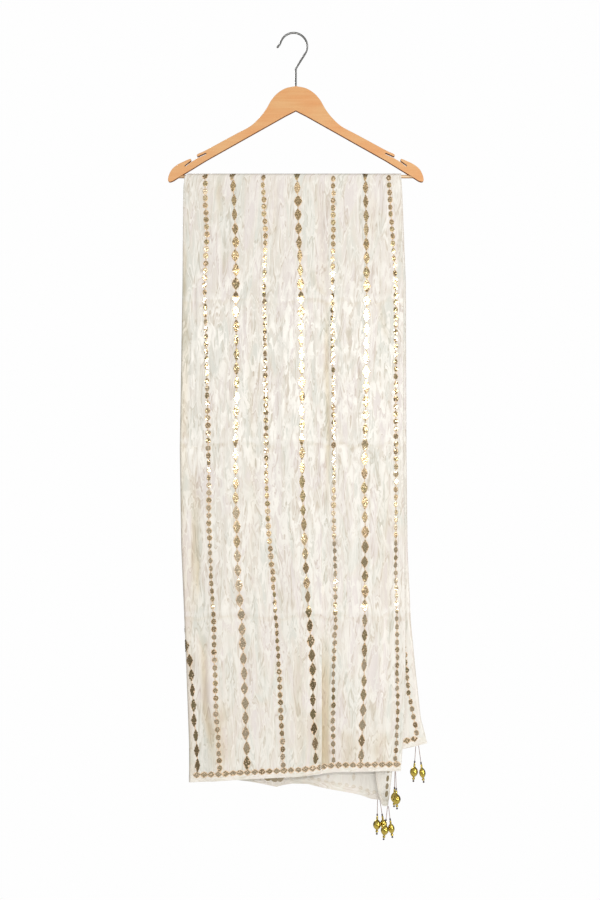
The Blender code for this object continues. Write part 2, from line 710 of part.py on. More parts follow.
def make_thread(tassel, start, axis, length):
    """Make the thread as a thin round cord from the hem through its beads."""
    curve = bpy.data.curves.new("thread_" + tassel.name, "CURVE")
    curve.dimensions = "3D"
    curve.bevel_depth = THREAD_RADIUS
    curve.bevel_resolution = 2
    curve.use_fill_caps = True
    count = max(2, round(length / THREAD_STEP) + 1)
    spline = curve.splines.new("POLY")
    spline.points.add(count - 1)
    for place in range(count):
        spline.points[place].co = (*(start + axis * (length * place / (count - 1))), 1.0)
    return add_object("thread_" + tassel.name, curve, "thread")


def make_tassel(tassel):
    """Make a tassel: its thread, and the seed, drop, end and tip beads along it."""
    start, axis = tassel_axis(tassel)
    seed_at = tassel.thread
    drop_at = seed_at + SEED_HEIGHT + GAP
    end_at = drop_at + DROP_HEIGHT + GAP
    tip_at = end_at + END_HEIGHT + GAP
    make_thread(tassel, start, axis, tip_at - GAP)
    turned_bead("seed_" + tassel.name, bored(barrel(SEED_HEIGHT, SEED_RADIUS)),
                start + axis * seed_at, axis, SMALL_SIDES, "seed_bead")
    turned_bead("drop_" + tassel.name, bored(drop_profile(tassel.bead)),
                start + axis * drop_at, axis, DROP_SIDES, "gold_bead")
    turned_bead("end_" + tassel.name, bored(barrel(END_HEIGHT, END_RADIUS)),
                start + axis * end_at, axis, SMALL_SIDES, "gold_bead")
    stopper = [(0.0, TIP_POINT_RADIUS), *barrel(TIP_HEIGHT, TIP_RADIUS),
               (TIP_HEIGHT, TIP_POINT_RADIUS)]
    turned_bead("tip_" + tassel.name, stopper, start + axis * tip_at, axis,
                SMALL_SIDES, "seed_bead")


def main():
    """Build every piece."""
    clear_scene()
    make_hanger_frame()
    make_hook()
    make_bar()
    for stretch in HEMS:
        make_stretch(stretch)
        make_hem(stretch)
    for tassel in TASSELS:
        make_tassel(tassel)


main()
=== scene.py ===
"""Looks of a dupatta stole that hangs on a notched wooden hanger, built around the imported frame.

Metres, +Z up, the front towards -Y, the origin inside the top of the hook. The stole is one length
of crushed tissue silk, folded once lengthwise with its fold at -X and hung over the bar. Each of
its four stretches is a thin shell on the form of its CAD solid, with stripes, a hem and tassels.
"""

import logging
import math
from collections.abc import Callable
from dataclasses import dataclass, field, replace
from enum import Enum
from functools import partial

import bmesh
import bpy
import numpy as np
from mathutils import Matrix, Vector

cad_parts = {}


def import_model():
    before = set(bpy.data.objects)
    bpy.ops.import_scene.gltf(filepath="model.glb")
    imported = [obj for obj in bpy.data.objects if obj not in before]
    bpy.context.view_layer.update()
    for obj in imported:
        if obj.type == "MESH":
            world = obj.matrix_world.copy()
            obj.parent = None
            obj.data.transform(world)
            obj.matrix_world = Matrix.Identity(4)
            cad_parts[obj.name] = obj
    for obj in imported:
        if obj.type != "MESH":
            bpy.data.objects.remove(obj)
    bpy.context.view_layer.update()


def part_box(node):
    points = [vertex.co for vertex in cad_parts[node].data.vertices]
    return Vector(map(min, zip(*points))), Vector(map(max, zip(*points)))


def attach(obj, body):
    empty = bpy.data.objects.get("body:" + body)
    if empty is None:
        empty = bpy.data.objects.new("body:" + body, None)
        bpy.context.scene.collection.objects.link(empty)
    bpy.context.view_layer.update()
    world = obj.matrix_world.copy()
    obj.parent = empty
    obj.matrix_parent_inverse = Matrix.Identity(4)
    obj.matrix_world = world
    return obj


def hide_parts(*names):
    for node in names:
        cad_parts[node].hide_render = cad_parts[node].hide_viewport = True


LOG = logging.getLogger("dupatta")
Array = np.ndarray
Piece = bpy.types.Object
Material = bpy.types.Material
Node = bpy.types.Node
Pair = tuple[float, float]
Triple = tuple[float, float, float]
Spots = tuple[Pair, ...]
BODY = "root"
MILLIMETRE = 0.001
SHARP_ANGLE = math.radians(50)


# ======================== small tools
def smooth_step(value: Array, low: float, high: float) -> Array:
    """Rise from 0 at low to 1 at high: 3s^2 - 2s^3 of the share s between them."""
    share = np.clip((np.asarray(value, dtype=float) - low) / (high - low), 0.0, 1.0)
    return share * share * (3.0 - 2.0 * share)


def bell(value: Array, reach: float) -> Array:
    """Return a bell that is 1 at nought: exp(-(value / reach)^2)."""
    return np.exp(-(value / reach) ** 2)


def soft_noise(u: Array, v: Array, seed: int) -> Array:
    """Give value noise: random heights at whole-number places, joined by smooth steps.

    Args:
        u: first coordinate.
        v: second one.
        seed: which field of heights to read.

    Returns:
        Heights from -1 to 1.
    """
    tile = 512
    heights = np.random.default_rng(seed).uniform(-1.0, 1.0, (tile, tile))
    column, row = np.floor(u).astype(int), np.floor(v).astype(int)
    across, down = smooth_step(u - column, 0.0, 1.0), smooth_step(v - row, 0.0, 1.0)
    near, far = column % tile, (column + 1) % tile
    upper, lower = (heights[near, line % tile] * (1 - across) + heights[far, line % tile] * across
                    for line in (row, row + 1))
    return upper * (1 - down) + lower * down


def unit(vectors: Array) -> Array:
    """Return vectors of the same directions and length 1."""
    return vectors / np.linalg.norm(vectors, axis=-1, keepdims=True)


def index_at(lines: Array, values: Array) -> Array:
    """Return where each value falls along its own rising line of numbers.

    Args:
        lines: one line of numbers for each value.
        values: the values.

    Returns:
        Fractional places along the lines.
    """
    index = np.clip((lines <= values[:, None]).sum(axis=1) - 1, 0, lines.shape[1] - 2)
    pick = np.arange(len(values))
    start, end = lines[pick, index], lines[pick, index + 1]
    return index + np.clip((values - start) / np.maximum(end - start, 1e-9), 0.0, 1.0)


def between(grid: Array, places: Array) -> Array:
    """Read a grid at fractional rows, straight between the two nearest.

    Args:
        grid: the grid.
        places: the fractional rows.

    Returns:
        A row for each place.
    """
    low = np.clip(np.floor(places).astype(int), 0, len(grid) - 2)
    part = (places - low)[:, None]
    return grid[low] * (1 - part) + grid[low + 1] * part


def circle(sides: int) -> Array:
    """Return points on a circle of radius 1: the cosine and the sine of equal turns."""
    turn = np.arange(sides) * 2 * math.pi / sides
    return np.stack([np.cos(turn), np.sin(turn)], axis=1)


def tube(path: Array, first: Array, second: Array, profile: Array) -> Array:
    """Carry a profile along a path: each point is the path's plus its pair's share of two directions.

    Args:
        path: the middle of each ring.
        first: the direction of a pair's first number, for each ring or all.
        second: its second number's.
        profile: pairs, one ring for all or one for each.

    Returns:
        The points, ring after ring.
    """
    first, second = (np.broadcast_to(way, path.shape)[:, None] for way in (first, second))
    points = path[:, None] + profile[..., :1] * first + profile[..., 1:] * second
    return points.reshape(-1, 3)


def grid_quads(rows: int, columns: int, wrap: bool = False) -> Array:
    """Return the quads of a grid of points that is numbered row after row.

    Args:
        rows: how many rows of points.
        columns: how many in a row.
        wrap: whether the last column joins the first.

    Returns:
        Quads of point numbers.
    """
    row = np.arange(rows - 1)[:, None] * columns
    start = np.arange(columns if wrap else columns - 1)
    follow = (start + 1) % columns
    quads = np.stack([row + start, row + follow, row + columns + follow, row + columns + start], -1)
    return quads.reshape(-1, 4)


def capped(rings: int, sides: int) -> list[Array]:
    """Return the faces of a tube of rings with both its ends closed."""
    ends = np.stack([np.arange(sides)[::-1], np.arange(sides) + (rings - 1) * sides])
    return [grid_quads(rings, sides, wrap=True), ends]


def fans(sides: int) -> Array:
    """Return triangles from two middles to the edges between a ring's points.

    The first middle comes before the ring and looks one way. The last comes after it.

    Args:
        sides: how many points the ring has.

    Returns:
        Triangles of point numbers.
    """
    side = np.arange(sides)
    near, far = 1 + side, 1 + (side + 1) % sides
    return np.concatenate([np.stack([0 * side, near, far], 1),
                           np.stack([0 * side + 1 + sides, far, near], 1)])


def new_object(name: str, data: bpy.types.ID) -> Piece:
    """Put data such as a mesh into a new object that is linked to the scene.

    Args:
        name: the object's name.
        data: the data.

    Returns:
        The object.
    """
    piece = bpy.data.objects.new(name, data)
    bpy.context.scene.collection.objects.link(piece)
    return piece


def mesh_piece(name: str, points: Array, faces: list[Array], smooth: bool = True,
               closed: bool = True) -> Piece:
    """Put arrays of points and faces into a new object at the origin.

    Args:
        name: the piece's name.
        points: x, y and z of each, in an array of any shape.
        faces: arrays of faces, each of one number of corners.
        smooth: whether they are shaded smooth.
        closed: whether they are turned to point out.

    Returns:
        The new object, linked to the scene.
    """
    mesh = bpy.data.meshes.new(name)
    corners = np.concatenate([block.ravel() for block in faces]).astype(np.int32)
    counts = np.concatenate([np.full(len(block), block.shape[1]) for block in faces]).astype(np.int32)
    starts = np.concatenate([[0], np.cumsum(counts)[:-1]]).astype(np.int32)
    mesh.vertices.add(points.size // 3)
    mesh.vertices.foreach_set("co", np.ascontiguousarray(points, dtype=np.float32).ravel())
    mesh.loops.add(len(corners))
    mesh.loops.foreach_set("vertex_index", corners)
    mesh.polygons.add(len(counts))
    mesh.polygons.foreach_set("loop_start", starts)
    mesh.polygons.foreach_set("use_smooth", np.full(len(counts), smooth))
    mesh.update(calc_edges=True)
    mesh.validate()
    if closed:
        work = bmesh.new()
        work.from_mesh(mesh)
        bmesh.ops.recalc_face_normals(work, faces=work.faces)
        work.to_mesh(mesh)
        work.free()
    return new_object(name, mesh)


def lay_uv(piece: Piece, across: Array, down: Array) -> None:
    """Give a mesh a UV map in metres.

    Args:
        piece: the mesh's object.
        across: each point's first coordinate.
        down: its second one.
    """
    mesh = piece.data
    corners = np.empty(len(mesh.loops), dtype=np.int32)
    mesh.loops.foreach_get("vertex_index", corners)
    places = np.stack(np.broadcast_arrays(across, down), axis=-1).reshape(-1, 2)
    layer = mesh.uv_layers.new(name="cloth")
    layer.data.foreach_set("uv", places[corners].astype(np.float32).ravel())


def paint(piece: Piece, name: str, values: Array) -> None:
    """Store a number for each point, under a name that the piece's finish reads."""
    layer = piece.data.attributes.new(name, "FLOAT", "POINT")
    layer.data.foreach_set("value", values.astype(np.float32).ravel())


def place(piece: Piece, slot: str, material: Material, *nodes: str) -> Piece:
    """Dress a piece, set it riding and hide the CAD nodes that it replaces.

    Args:
        piece: the new piece.
        slot: not used.
        material: its finish.
        nodes: the CAD nodes that it replaces.

    Returns:
        The same piece.
    """
    piece.data.materials.append(material)
    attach(piece, BODY)
    if nodes:
        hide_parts(*nodes)
    return piece


# ======================== finishes
BACK_START = 2.0  # metres down the cloth's map, where its back half starts


def linear(colour: str) -> tuple[float, float, float, float]:
    """Turn an sRGB hex colour such as EBB47C into linear red, green, blue and alpha."""
    values = [int(colour[start:start + 2], 16) / 255 for start in (0, 2, 4)]
    return (*[v / 12.92 if v <= 0.04045 else ((v + 0.055) / 1.055) ** 2.4 for v in values], 1.0)


def set_node(node: Node, settings: dict, links: dict) -> Node:
    """Give a node its settings and what feeds it.

    Args:
        node: the node.
        settings: values of its properties or inputs by name. A ramp's stops are positions from
            0 to 1 with sRGB hex colours.
        links: what feeds each input: an output, or a node's first one.

    Returns:
        The same node.
    """
    for name, value in settings.items():
        if name == "stops":
            elements = node.color_ramp.elements
            while len(elements) < len(value):
                elements.new(0.5)
            for element, (position, colour) in zip(elements, value):
                element.position = position
                element.color = linear(colour)
        elif isinstance(name, str) and hasattr(node, name):
            setattr(node, name, value)
        else:
            node.inputs[name].default_value = value
    for name, source in links.items():
        output = source.outputs[0] if isinstance(source, Node) else source
        node.id_data.links.new(output, node.inputs[name])
    return node


def add_node(tree: bpy.types.NodeTree, kind: str, settings: dict | None = None,
             links: dict | None = None) -> Node:
    """Add a node with its settings and what feeds it.

    Args:
        tree: the node tree.
        kind: the shader node's type.
        settings: what set_node takes, and a pattern's cell: its real size in millimetres across,
            along and through, which scales the coordinates that feed it.
        links: what set_node takes.

    Returns:
        The new node.
    """
    settings, links = dict(settings or {}), dict(links or {})
    if "cell" in settings:
        cell = (*settings.pop("cell"), 1.0)[:3]
        scale = tuple(1.0 / (size * MILLIMETRE) for size in cell)
        links["Vector"] = add_node(tree, "Mapping", {"Scale": scale}, links)
        settings["Scale"] = 1.0
    return set_node(tree.nodes.new("ShaderNode" + kind), settings, links)


def new_material(name: str) -> tuple[Material, Callable[..., Node], Node]:
    """Start a node material.

    Args:
        name: the material's name.

    Returns:
        The material, what adds its nodes, and its Principled shader.
    """
    material = bpy.data.materials.new(name)
    material.use_nodes = True
    return material, partial(add_node, material.node_tree), material.node_tree.nodes["Principled BSDF"]


@dataclass(frozen=True)
class TissueSilk:
    """Crushed silk tissue: silk crossed with fine metal-wrapped yarn, wrung and dried in folds.

    Glints of small upright facets that face the light are painted in as silvery flakes on an ivory
    ground, and long creases as painted shade with a painted highlight beside it. The yarn's cast
    drifts from fold to fold. The shading attribute paints shade in tan, and below nought highlights.
    """

    name: str = "crushed silk tissue"
    ground: str = "E3DCD2"
    cool: str = "DEDDD5"
    warm: str = "E5DDD9"
    # the facets' painted highlight
    flake_highlight: str = "F1EDE6"
    line: str = "E8E2D9"  # multiplies the ground in the painted shade of the crease lines
    tan: str = "E4D8C0"  # the painted shade's colour: multiplies everything where the shading is full
    flake_size: Pair = (8.0, 30.0)  # mm across and along
    line_size: Pair = (12.0, 85.0)
    cast_size: Pair = (24.0, 120.0)
    patch_size: Pair = (26.0, 64.0)  # of the places that have flakes
    yarn_size: Pair = (1.4, 20.0)  # the real yarns, 0.25 mm apart, wouldn't show
    roughness: Pair = (0.58, 0.34)  # of the ground and of a flake

    def make(self) -> Material:
        """Build its nodes.

        Returns:
            The material.
        """
        material, add, shader = new_material(self.name)
        metres = {"Vector": add("UVMap", {"uv_map": "cloth"})}
        casts, lines, flakes, patches, yarns = (
            add("TexNoise", {"noise_dimensions": "2D", "cell": cell, **settings}, metres)
            for cell, settings in (
                (self.cast_size, {"Detail": 2.0, "Distortion": 0.6}),
                (self.line_size, {"Detail": 2.8, "Roughness": 0.58, "Distortion": 0.75}),
                (self.flake_size, {"Detail": 3.2, "Roughness": 0.56, "Distortion": 0.75}),
                (self.patch_size, {"Detail": 2.0, "Distortion": 0.8}),
                (self.yarn_size, {"Detail": 3.0, "Roughness": 0.6})))
        down = add("SeparateXYZ", links=metres).outputs["Y"]
        down = add("Math", {"operation": "MODULO", 1: BACK_START}, {0: down})
        ground, crease_shade, sharp, where, glints, crushed = (
            add("ValToRGB", {"stops": stops}, {"Fac": source})
            for source, stops in (
                (casts, ((0.36, self.cool), (0.5, self.ground), (0.64, self.warm))),
                (lines, ((0.425, "FFFFFF"), (0.46, self.line), (0.492, "FFFFFF"))),
                (flakes, ((0.485, "000000"), (0.53, "FFFFFF"))),
                (patches, ((0.34, "3C3C3C"), (0.56, "FFFFFF"))),
                (lines, ((0.492, "000000"), (0.522, "FFFFFF"), (0.565, "000000"))),
                # crushed: the band of the drop where the flakes' painted highlights are strongest, in the
                # middle.
                (down, ((0.02, "B4B4B4"), (0.14, "C8C8C8"), (0.24, "FFFFFF"), (0.62, "FFFFFF"),
                        (0.8, "E0E0E0"), (0.98, "C8C8C8")))))
        share = where
        for operation, other in (("MULTIPLY", crushed), ("MULTIPLY", sharp), ("MAXIMUM", glints)):
            share = add("Math", {"operation": operation}, {0: share, 1: other})
        # Painted shade from the shading attribute, and a painted highlight (shine) where it is below
        # nought.
        tone = add("Attribute", {"attribute_name": "tone"}).outputs["Fac"]
        shine = add("Math", {"operation": "MULTIPLY", 1: -1.0, "use_clamp": True}, {0: tone})
        colour = add("Mix", {"data_type": "RGBA", "blend_type": "MULTIPLY", "Factor": 1.0},
                     {6: ground, 7: crease_shade}).outputs[2]
        for blend, amount, tint in (("MIX", share, self.flake_highlight), ("MULTIPLY", tone, self.tan),
                                    ("MIX", shine, self.flake_highlight)):
            colour = add("Mix", {"data_type": "RGBA", "blend_type": blend, 7: linear(tint)},
                         {"Factor": amount, 6: colour}).outputs[2]
        gloss = add("MapRange", {"To Min": self.roughness[0], "To Max": self.roughness[1]},
                    {"Value": share})
        bump = add("Bump", {"Strength": 0.15, "Distance": 0.0004}, {"Height": yarns})
        bump = add("Bump", {"Strength": 0.35, "Distance": 0.0016},
                   {"Height": flakes, "Normal": bump})
        set_node(shader, {"Sheen Weight": 0.15, "Sheen Roughness": 0.35},
                 {"Base Color": colour, "Roughness": gloss, "Normal": bump})
        return material


@dataclass(frozen=True)
class FoilSequin:
    """Antique gold sequins: pressed foil, bronze where it mirrors the room and white at the lamp.

    Each one carries its own tint from 0 to 1 in the attribute of that name.
    """

    name: str = "antique gold foil sequins"
    tints: tuple[tuple[float, str], ...] = ((0.0, "9E8A68"), (0.25, "B09A78"), (0.45, "B8AA82"),
                                            (0.62, "CAB08E"), (0.8, "DCC8A0"), (1.0, "F4E2C6"))
    roughness: float = 0.165

    def make(self) -> Material:
        """Build its nodes.

        Returns:
            The material.
        """
        material, add, shader = new_material(self.name)
        tint = add("Attribute", {"attribute_name": "tint"})
        ramp = add("ValToRGB", {"stops": self.tints}, {"Fac": tint.outputs["Fac"]})
        set_node(shader, {"Metallic": 1.0, "Roughness": self.roughness}, {"Base Color": ramp})
        return material


@dataclass(frozen=True)
class Streaked:
    """A plain finish whose streaks of real size go between two colours and stand a little proud."""

    name: str
    dark: str
    light: str
    cell: Triple  # mm, of one streak along X, Y and Z
    span: Pair  # of the noise, from all dark to all light
    roughness: float
    bump: float = 0.0  # how strong the relief is
    relief: float = 0.0  # m, how high it stands
    sheen: float = 0.0

    def make(self) -> Material:
        """Build its nodes.

        Returns:
            The material.
        """
        material, add, shader = new_material(self.name)
        metres = {"Vector": add("TexCoord").outputs["Object"]}
        streaks = add("TexNoise", {"cell": self.cell, "Detail": 2.0}, metres)
        ramp = add("ValToRGB", {"stops": tuple(zip(self.span, (self.dark, self.light)))},
                   {"Fac": streaks})
        links = {"Base Color": ramp}
        if self.bump:
            links["Normal"] = add("Bump", {"Strength": self.bump, "Distance": self.relief},
                                  {"Height": streaks})
        set_node(shader, {"Roughness": self.roughness, "Sheen Weight": self.sheen}, links)
        return material


@dataclass(frozen=True)
class LacqueredWood:
    """Beech under clear satin lacquer: warm tan with fine streaks along the grain and short flecks.

    Faces that look down get painted shade and more roughness; the rounded rims, a little painted shade.
    """

    name: str = "lacquered beech"
    dark: str = "DDA366"
    light: str = "E3AE74"
    fleck: str = "D2975E"
    underside_shade: str = "96704E"  # painted shade: multiplies the wood on the faces that look down
    rim_shade: str = "C8AA84"  # painted shade: multiplies the rounded rims
    streak: Triple = (60.0, 5.0, 3.2)  # mm along, through and across
    cloud: Triple = (90.0, 60.0, 30.0)
    fleck_size: Triple = (7.0, 1.2, 0.9)
    roughness: Pair = (0.38, 0.9)  # of the lacquer, and on the faces that look down

    def make(self) -> Material:
        """Build its nodes.

        Returns:
            The material.
        """
        material, add, shader = new_material(self.name)
        metres = {"Vector": add("TexCoord").outputs["Object"]}
        streaks, clouds, flecks = (
            add("TexNoise", {"cell": cell, **settings}, metres)
            for cell, settings in (
                (self.streak, {"Detail": 5.0, "Roughness": 0.6, "Distortion": 0.5}),
                (self.cloud, {"Detail": 2.0}), (self.fleck_size, {"Detail": 1.0})))
        base, warm, mask = (
            add("ValToRGB", {"stops": stops}, {"Fac": source})
            for source, stops in ((streaks, ((0.32, self.dark), (0.66, self.light))),
                                  (clouds, ((0.35, "FFEFE4"), (0.65, "FFFFFF"))),
                                  (flecks, ((0.64, "000000"), (0.72, "666666")))))
        # Painted shade on the rounded rims and on the faces that look down, which are also rougher.
        facing = add("NewGeometry").outputs["True Normal"]
        facing = add("SeparateXYZ", links={"Vector": facing})
        flat = add("Math", {"operation": "ABSOLUTE"}, {0: facing.outputs["Y"]})
        rim = add("MapRange", {"From Min": 0.92, "From Max": 0.45},
                  {"Value": flat})
        under = add("MapRange", {"From Min": -0.25, "From Max": -0.8, "To Max": 0.36},
                    {"Value": facing.outputs["Z"]})
        colour = add("Mix", {"data_type": "RGBA", "blend_type": "MULTIPLY", "Factor": 1.0},
                     {6: base, 7: warm}).outputs[2]
        for blend, amount, tint in (("MIX", mask, self.fleck), ("MULTIPLY", rim, self.rim_shade),
                                    ("MULTIPLY", under, self.underside_shade)):
            colour = add("Mix", {"data_type": "RGBA", "blend_type": blend, 7: linear(tint)},
                         {"Factor": amount, 6: colour}).outputs[2]
        gloss = add("MapRange", {"To Min": self.roughness[0], "To Max": self.roughness[1]},
                    {"Value": under})
        bump = add("Bump", {"Strength": 0.12, "Distance": 0.0003}, {"Height": streaks})
        set_node(shader, {"Coat Weight": 0.1, "Coat Roughness": 0.25},
                 {"Base Color": colour, "Roughness": gloss, "Normal": bump})
        return material


@dataclass(frozen=True)
class Metal:
    """A plain bright metal with a faint unevenness from polishing."""

    name: str
    colour: str
    roughness: float
    wear_size: float  # mm
    uneven: float = 0.3  # of the roughness

    def make(self) -> Material:
        """Build its nodes.

        Returns:
            The material.
        """
        material, add, shader = new_material(self.name)
        metres = {"Vector": add("TexCoord").outputs["Object"]}
        wear = add("TexNoise", {"cell": (self.wear_size,) * 3, "Detail": 3.0}, metres)
        rough = add("MapRange", {"To Min": self.roughness * (1 - self.uneven),
                                           "To Max": self.roughness * (1 + self.uneven)},
                    {"Value": wear})
        set_node(shader, {"Base Color": linear(self.colour), "Metallic": 1.0}, {"Roughness": rough})
        return material


class Finishes:
    """The materials of every piece, made once."""

    def __init__(self) -> None:
        """Make them all."""
        self.silk = TissueSilk().make()
        # Doubled over, the same cloth looks lighter, and its folds run along the hem.
        self.hem = TissueSilk(name="turned hem of silk tissue", ground="E8E1D6", cool="E5E1D6",
                              warm="EAE2DA", flake_highlight="F5F1EC", flake_size=(9.0, 5.0),
                              line_size=(60.0, 9.0)).make()
        self.sequin = FoilSequin().make()
        # Laid rayon, peach and gold, with a soft sheen across its strands. They are drawn 0.9 mm
        # wide, because the real 0.3 mm would not show.
        stitch = Streaked("rayon satin stitch", "D6B48E", "F1D9BC", (6.0, 6.0, 0.9), (0.35, 0.65),
                          roughness=0.45, bump=0.4, relief=0.0003, sheen=0.3)
        self.stitch = stitch.make()
        self.wrong_side = replace(stitch, name="bobbin side of the stitching", dark="D6CCBC",
                                  light="EBE4D9").make()
        self.wood = LacqueredWood().make()
        self.dowel = LacqueredWood(name="pale lacquered dowel", dark="E2C49A", light="F3DDB8",
                                   fleck="CDAA7C").make()
        self.chrome = Metal("bright chromed steel", "848483", 0.3, 40.0).make()
        self.gold = Metal("polished gold-toned brass", "CBB458", 0.15, 3.0).make()
        # Dark amber-brown seed beads, glossy and nearly black, with a swirl in the glass.
        self.glass = Streaked("dark pressed glass", "3A2A1C", "5E452E", (1.5, 1.5, 3.0), (0.4, 0.7),
                              roughness=0.14).make()
        # Reddish brown cotton with pale strands that wind round it.
        self.thread = Streaked("two-ply cotton thread", "6A3E2E", "B08A74", (0.8, 0.8, 2.2),
                               (0.4, 0.62), roughness=0.8, bump=0.5, relief=0.0002).make()


# ======================== hanger
HANGER_X = 0.0039  # the arms' centre line, beside the hook's top
BAR_RADIUS = 0.003
BAR_LEVEL = -0.2519


def curve_through(points: Spots, steps: int) -> Array:
    """Carry a Catmull-Rom curve through points in a plane.

    Its slope at each point is half the step from the point before to the point after.

    Args:
        points: the points of the curve.
        steps: straight pieces between two points.

    Returns:
        The curve's points, ending on the last one.
    """
    spots = np.array(points, dtype=float)
    padded = np.concatenate([2 * spots[:1] - spots[1:2], spots, 2 * spots[-1:] - spots[-2:-1]])
    before, start, end, after = (padded[k:len(padded) - 3 + k, None, :] for k in range(4))
    share = (np.arange(steps) / steps)[None, :, None]
    curve = 0.5 * (2 * start + (end - before) * share
                   + (2 * before - 5 * start + 4 * end - after) * share ** 2
                   + (3 * start - before - 3 * end + after) * share ** 3)
    return np.concatenate([curve.reshape(-1, 2), spots[-1:]])


def arc(centre: Array, radius: float, start: float, end: float, count: int) -> Array:
    """Return points on an arc: the centre plus the radius times (cos, sin) of the turn in radians."""
    turn = np.linspace(start, end, count)
    return centre + radius * np.stack([np.cos(turn), np.sin(turn)], axis=1)


def swept(path: Array, radii: Array, sides: int) -> Array:
    """Carry a circle along a path that lies in the XZ plane, across the path's direction.

    Args:
        path: x and z of each place.
        radii: the circle's radius at each place.
        sides: points in a ring.

    Returns:
        The points, ring after ring.
    """
    flat = np.zeros(len(path))
    along = unit(np.gradient(path, axis=0))
    middle, across = (np.stack([part[:, 0], flat, part[:, 1]], axis=1)
                      for part in (path, along[:, ::-1] * (-1.0, 1.0)))
    return tube(middle, across, np.array((0.0, 1.0, 0.0)), radii[:, None, None] * circle(sides))


@dataclass
class Hanger:
    """The wooden plate with its notched arms, the trouser bar and the wire hook."""

    finishes: Finishes
    plate_thickness: float = 0.012
    rim_radius: float = 0.0016
    rim_segments: int = 4
    rim_angle: float = math.radians(60)  # the least angle that is rounded
    curve_steps: int = 8
    notch_steps: int = 2
    # One arm's outline from the crown round its end: distance from the centre line, and level.
    arm_top: Spots = (
        (0.0, -0.0932), (0.0173, -0.0968), (0.0314, -0.105), (0.0425, -0.117),
        (0.0526, -0.1343), (0.064, -0.149), (0.0808, -0.1643), (0.1091, -0.1795),
        (0.1585, -0.2062), (0.171, -0.2118))
    inner_notch: Spots = (
        (0.171, -0.2118), (0.1742, -0.2142), (0.174, -0.2165), (0.1722, -0.217),
        (0.159, -0.211), (0.1578, -0.2122), (0.1586, -0.2136), (0.1722, -0.2197))
    outer_notch: Spots = (
        (0.186, -0.228), (0.194, -0.2345), (0.1955, -0.2342), (0.1953, -0.2325),
        (0.1853, -0.225), (0.1845, -0.2228), (0.1862, -0.2214), (0.1945, -0.2246))
    arm_end: Spots = (
        (0.1945, -0.2246), (0.2079, -0.2312), (0.218, -0.2395), (0.2236, -0.25),
        (0.2252, -0.259), (0.2225, -0.2617), (0.2165, -0.26), (0.2088, -0.2552))
    arm_underside: Spots = ((0.1585, -0.2243), (0.018, -0.1453), (0.0, -0.1362))
    wire_radius: float = 0.0018
    wire_sides: int = 24
    hook_radius: float = 0.024
    hook_turns: Pair = (math.radians(162.0), math.radians(-32.0))  # open end, leaving
    hook_points: int = 64
    flare_radius: float = 0.0177
    flare_turn: float = math.radians(27.0)
    flare_points: int = 16
    tip_radius: float = 0.0023
    tip_points: int = 13
    bend_radius: float = 0.008
    bend_points: int = 14
    shank_depth: float = 0.01
    shank_points: int = 12
    bar_half_length: float = 0.2132
    bar_ease: float = 0.0005  # how far the dowel's ends are eased
    bar_sides: int = 32

    def outline(self) -> Array:
        """Draw the plate's whole outline, the arm and its mirror image.

        Returns:
            x and z of its points.
        """
        arm = np.concatenate([
            curve_through(self.arm_top, self.curve_steps)[:-1],
            curve_through(self.inner_notch, self.notch_steps),
            curve_through(self.outer_notch, self.notch_steps)[:-1],
            curve_through(self.arm_end, self.curve_steps),
            np.array(self.arm_underside)])
        mirrored = arm[-2:0:-1] * (-1.0, 1.0)
        return np.concatenate([arm, mirrored]) + (HANGER_X, 0.0)

    def make_plate(self) -> Piece:
        """Extrude the outline and round its rim with a bevel.

        Returns:
            The plate.
        """
        outline = self.outline()
        count, half = len(outline), self.plate_thickness / 2
        points = [np.stack([outline[:, 0], np.full(count, y), outline[:, 1]], axis=1)
                  for y in (-half, half)]
        plate = mesh_piece("beech_plate", np.concatenate(points), capped(2, count))
        plate.data.set_sharp_from_angle(angle=SHARP_ANGLE)
        rim = plate.modifiers.new("rounded_rim", "BEVEL")
        rim.width = self.rim_radius
        rim.segments = self.rim_segments
        rim.limit_method = "ANGLE"
        rim.angle_limit = self.rim_angle
        rim.harden_normals = True
        return plate

    def hook_path(self) -> Array:
        """Draw the wire's middle line from its open end to the shank.

        A reversed arc flares the open end, an arc about a point below the origin is the hook, and
        a straight run and a short bend bring the wire over the centre line.

        Returns:
            x and z of its points.
        """
        open_end, leaving = self.hook_turns
        centre = np.array([0.0, self.wire_radius - self.hook_radius])
        hook = arc(centre, self.hook_radius, open_end, leaving, self.hook_points)
        pivot = centre + (self.hook_radius + self.flare_radius) * np.array(
            [math.cos(open_end), math.sin(open_end)])
        turn = open_end - math.pi
        flare = arc(pivot, self.flare_radius, turn - self.flare_turn, turn, self.flare_points)[:-1]
        slant = leaving - math.pi / 2
        run = (hook[-1, 0] - HANGER_X) / -math.cos(slant)
        corner = hook[-1, 1] + run * math.sin(slant)
        bend = -math.pi / 2 - slant
        setback = self.bend_radius * math.tan(bend / 2)
        knee = arc(np.array([HANGER_X + self.bend_radius, corner - setback]), self.bend_radius,
                   math.pi - bend, math.pi, self.bend_points)
        shank_end = self.arm_top[0][1] - self.shank_depth
        levels = np.linspace(knee[-1, 1], shank_end, self.shank_points + 1)[1:]
        shank = np.stack([np.full(self.shank_points, HANGER_X), levels], axis=1)
        return np.concatenate([flare, hook, knee, shank])

    def make_hook(self) -> Piece:
        """Sweep the wire along its path, with a ball where its open end starts.

        Returns:
            The hook.
        """
        path = self.hook_path()
        back = unit(path[0] - path[1])
        meet = math.pi - math.asin(self.wire_radius / self.tip_radius)
        turn = np.linspace(0.0, meet, self.tip_points)[1:-1]
        ball = path[0] + back * (self.tip_radius * (np.cos(turn) - math.cos(meet)))[:, None]
        radii = np.concatenate([self.tip_radius * np.sin(turn), np.full(len(path), self.wire_radius)])
        path = np.concatenate([ball, path])
        return mesh_piece("wire_hook", swept(path, radii, self.wire_sides),
                          capped(len(path), self.wire_sides))

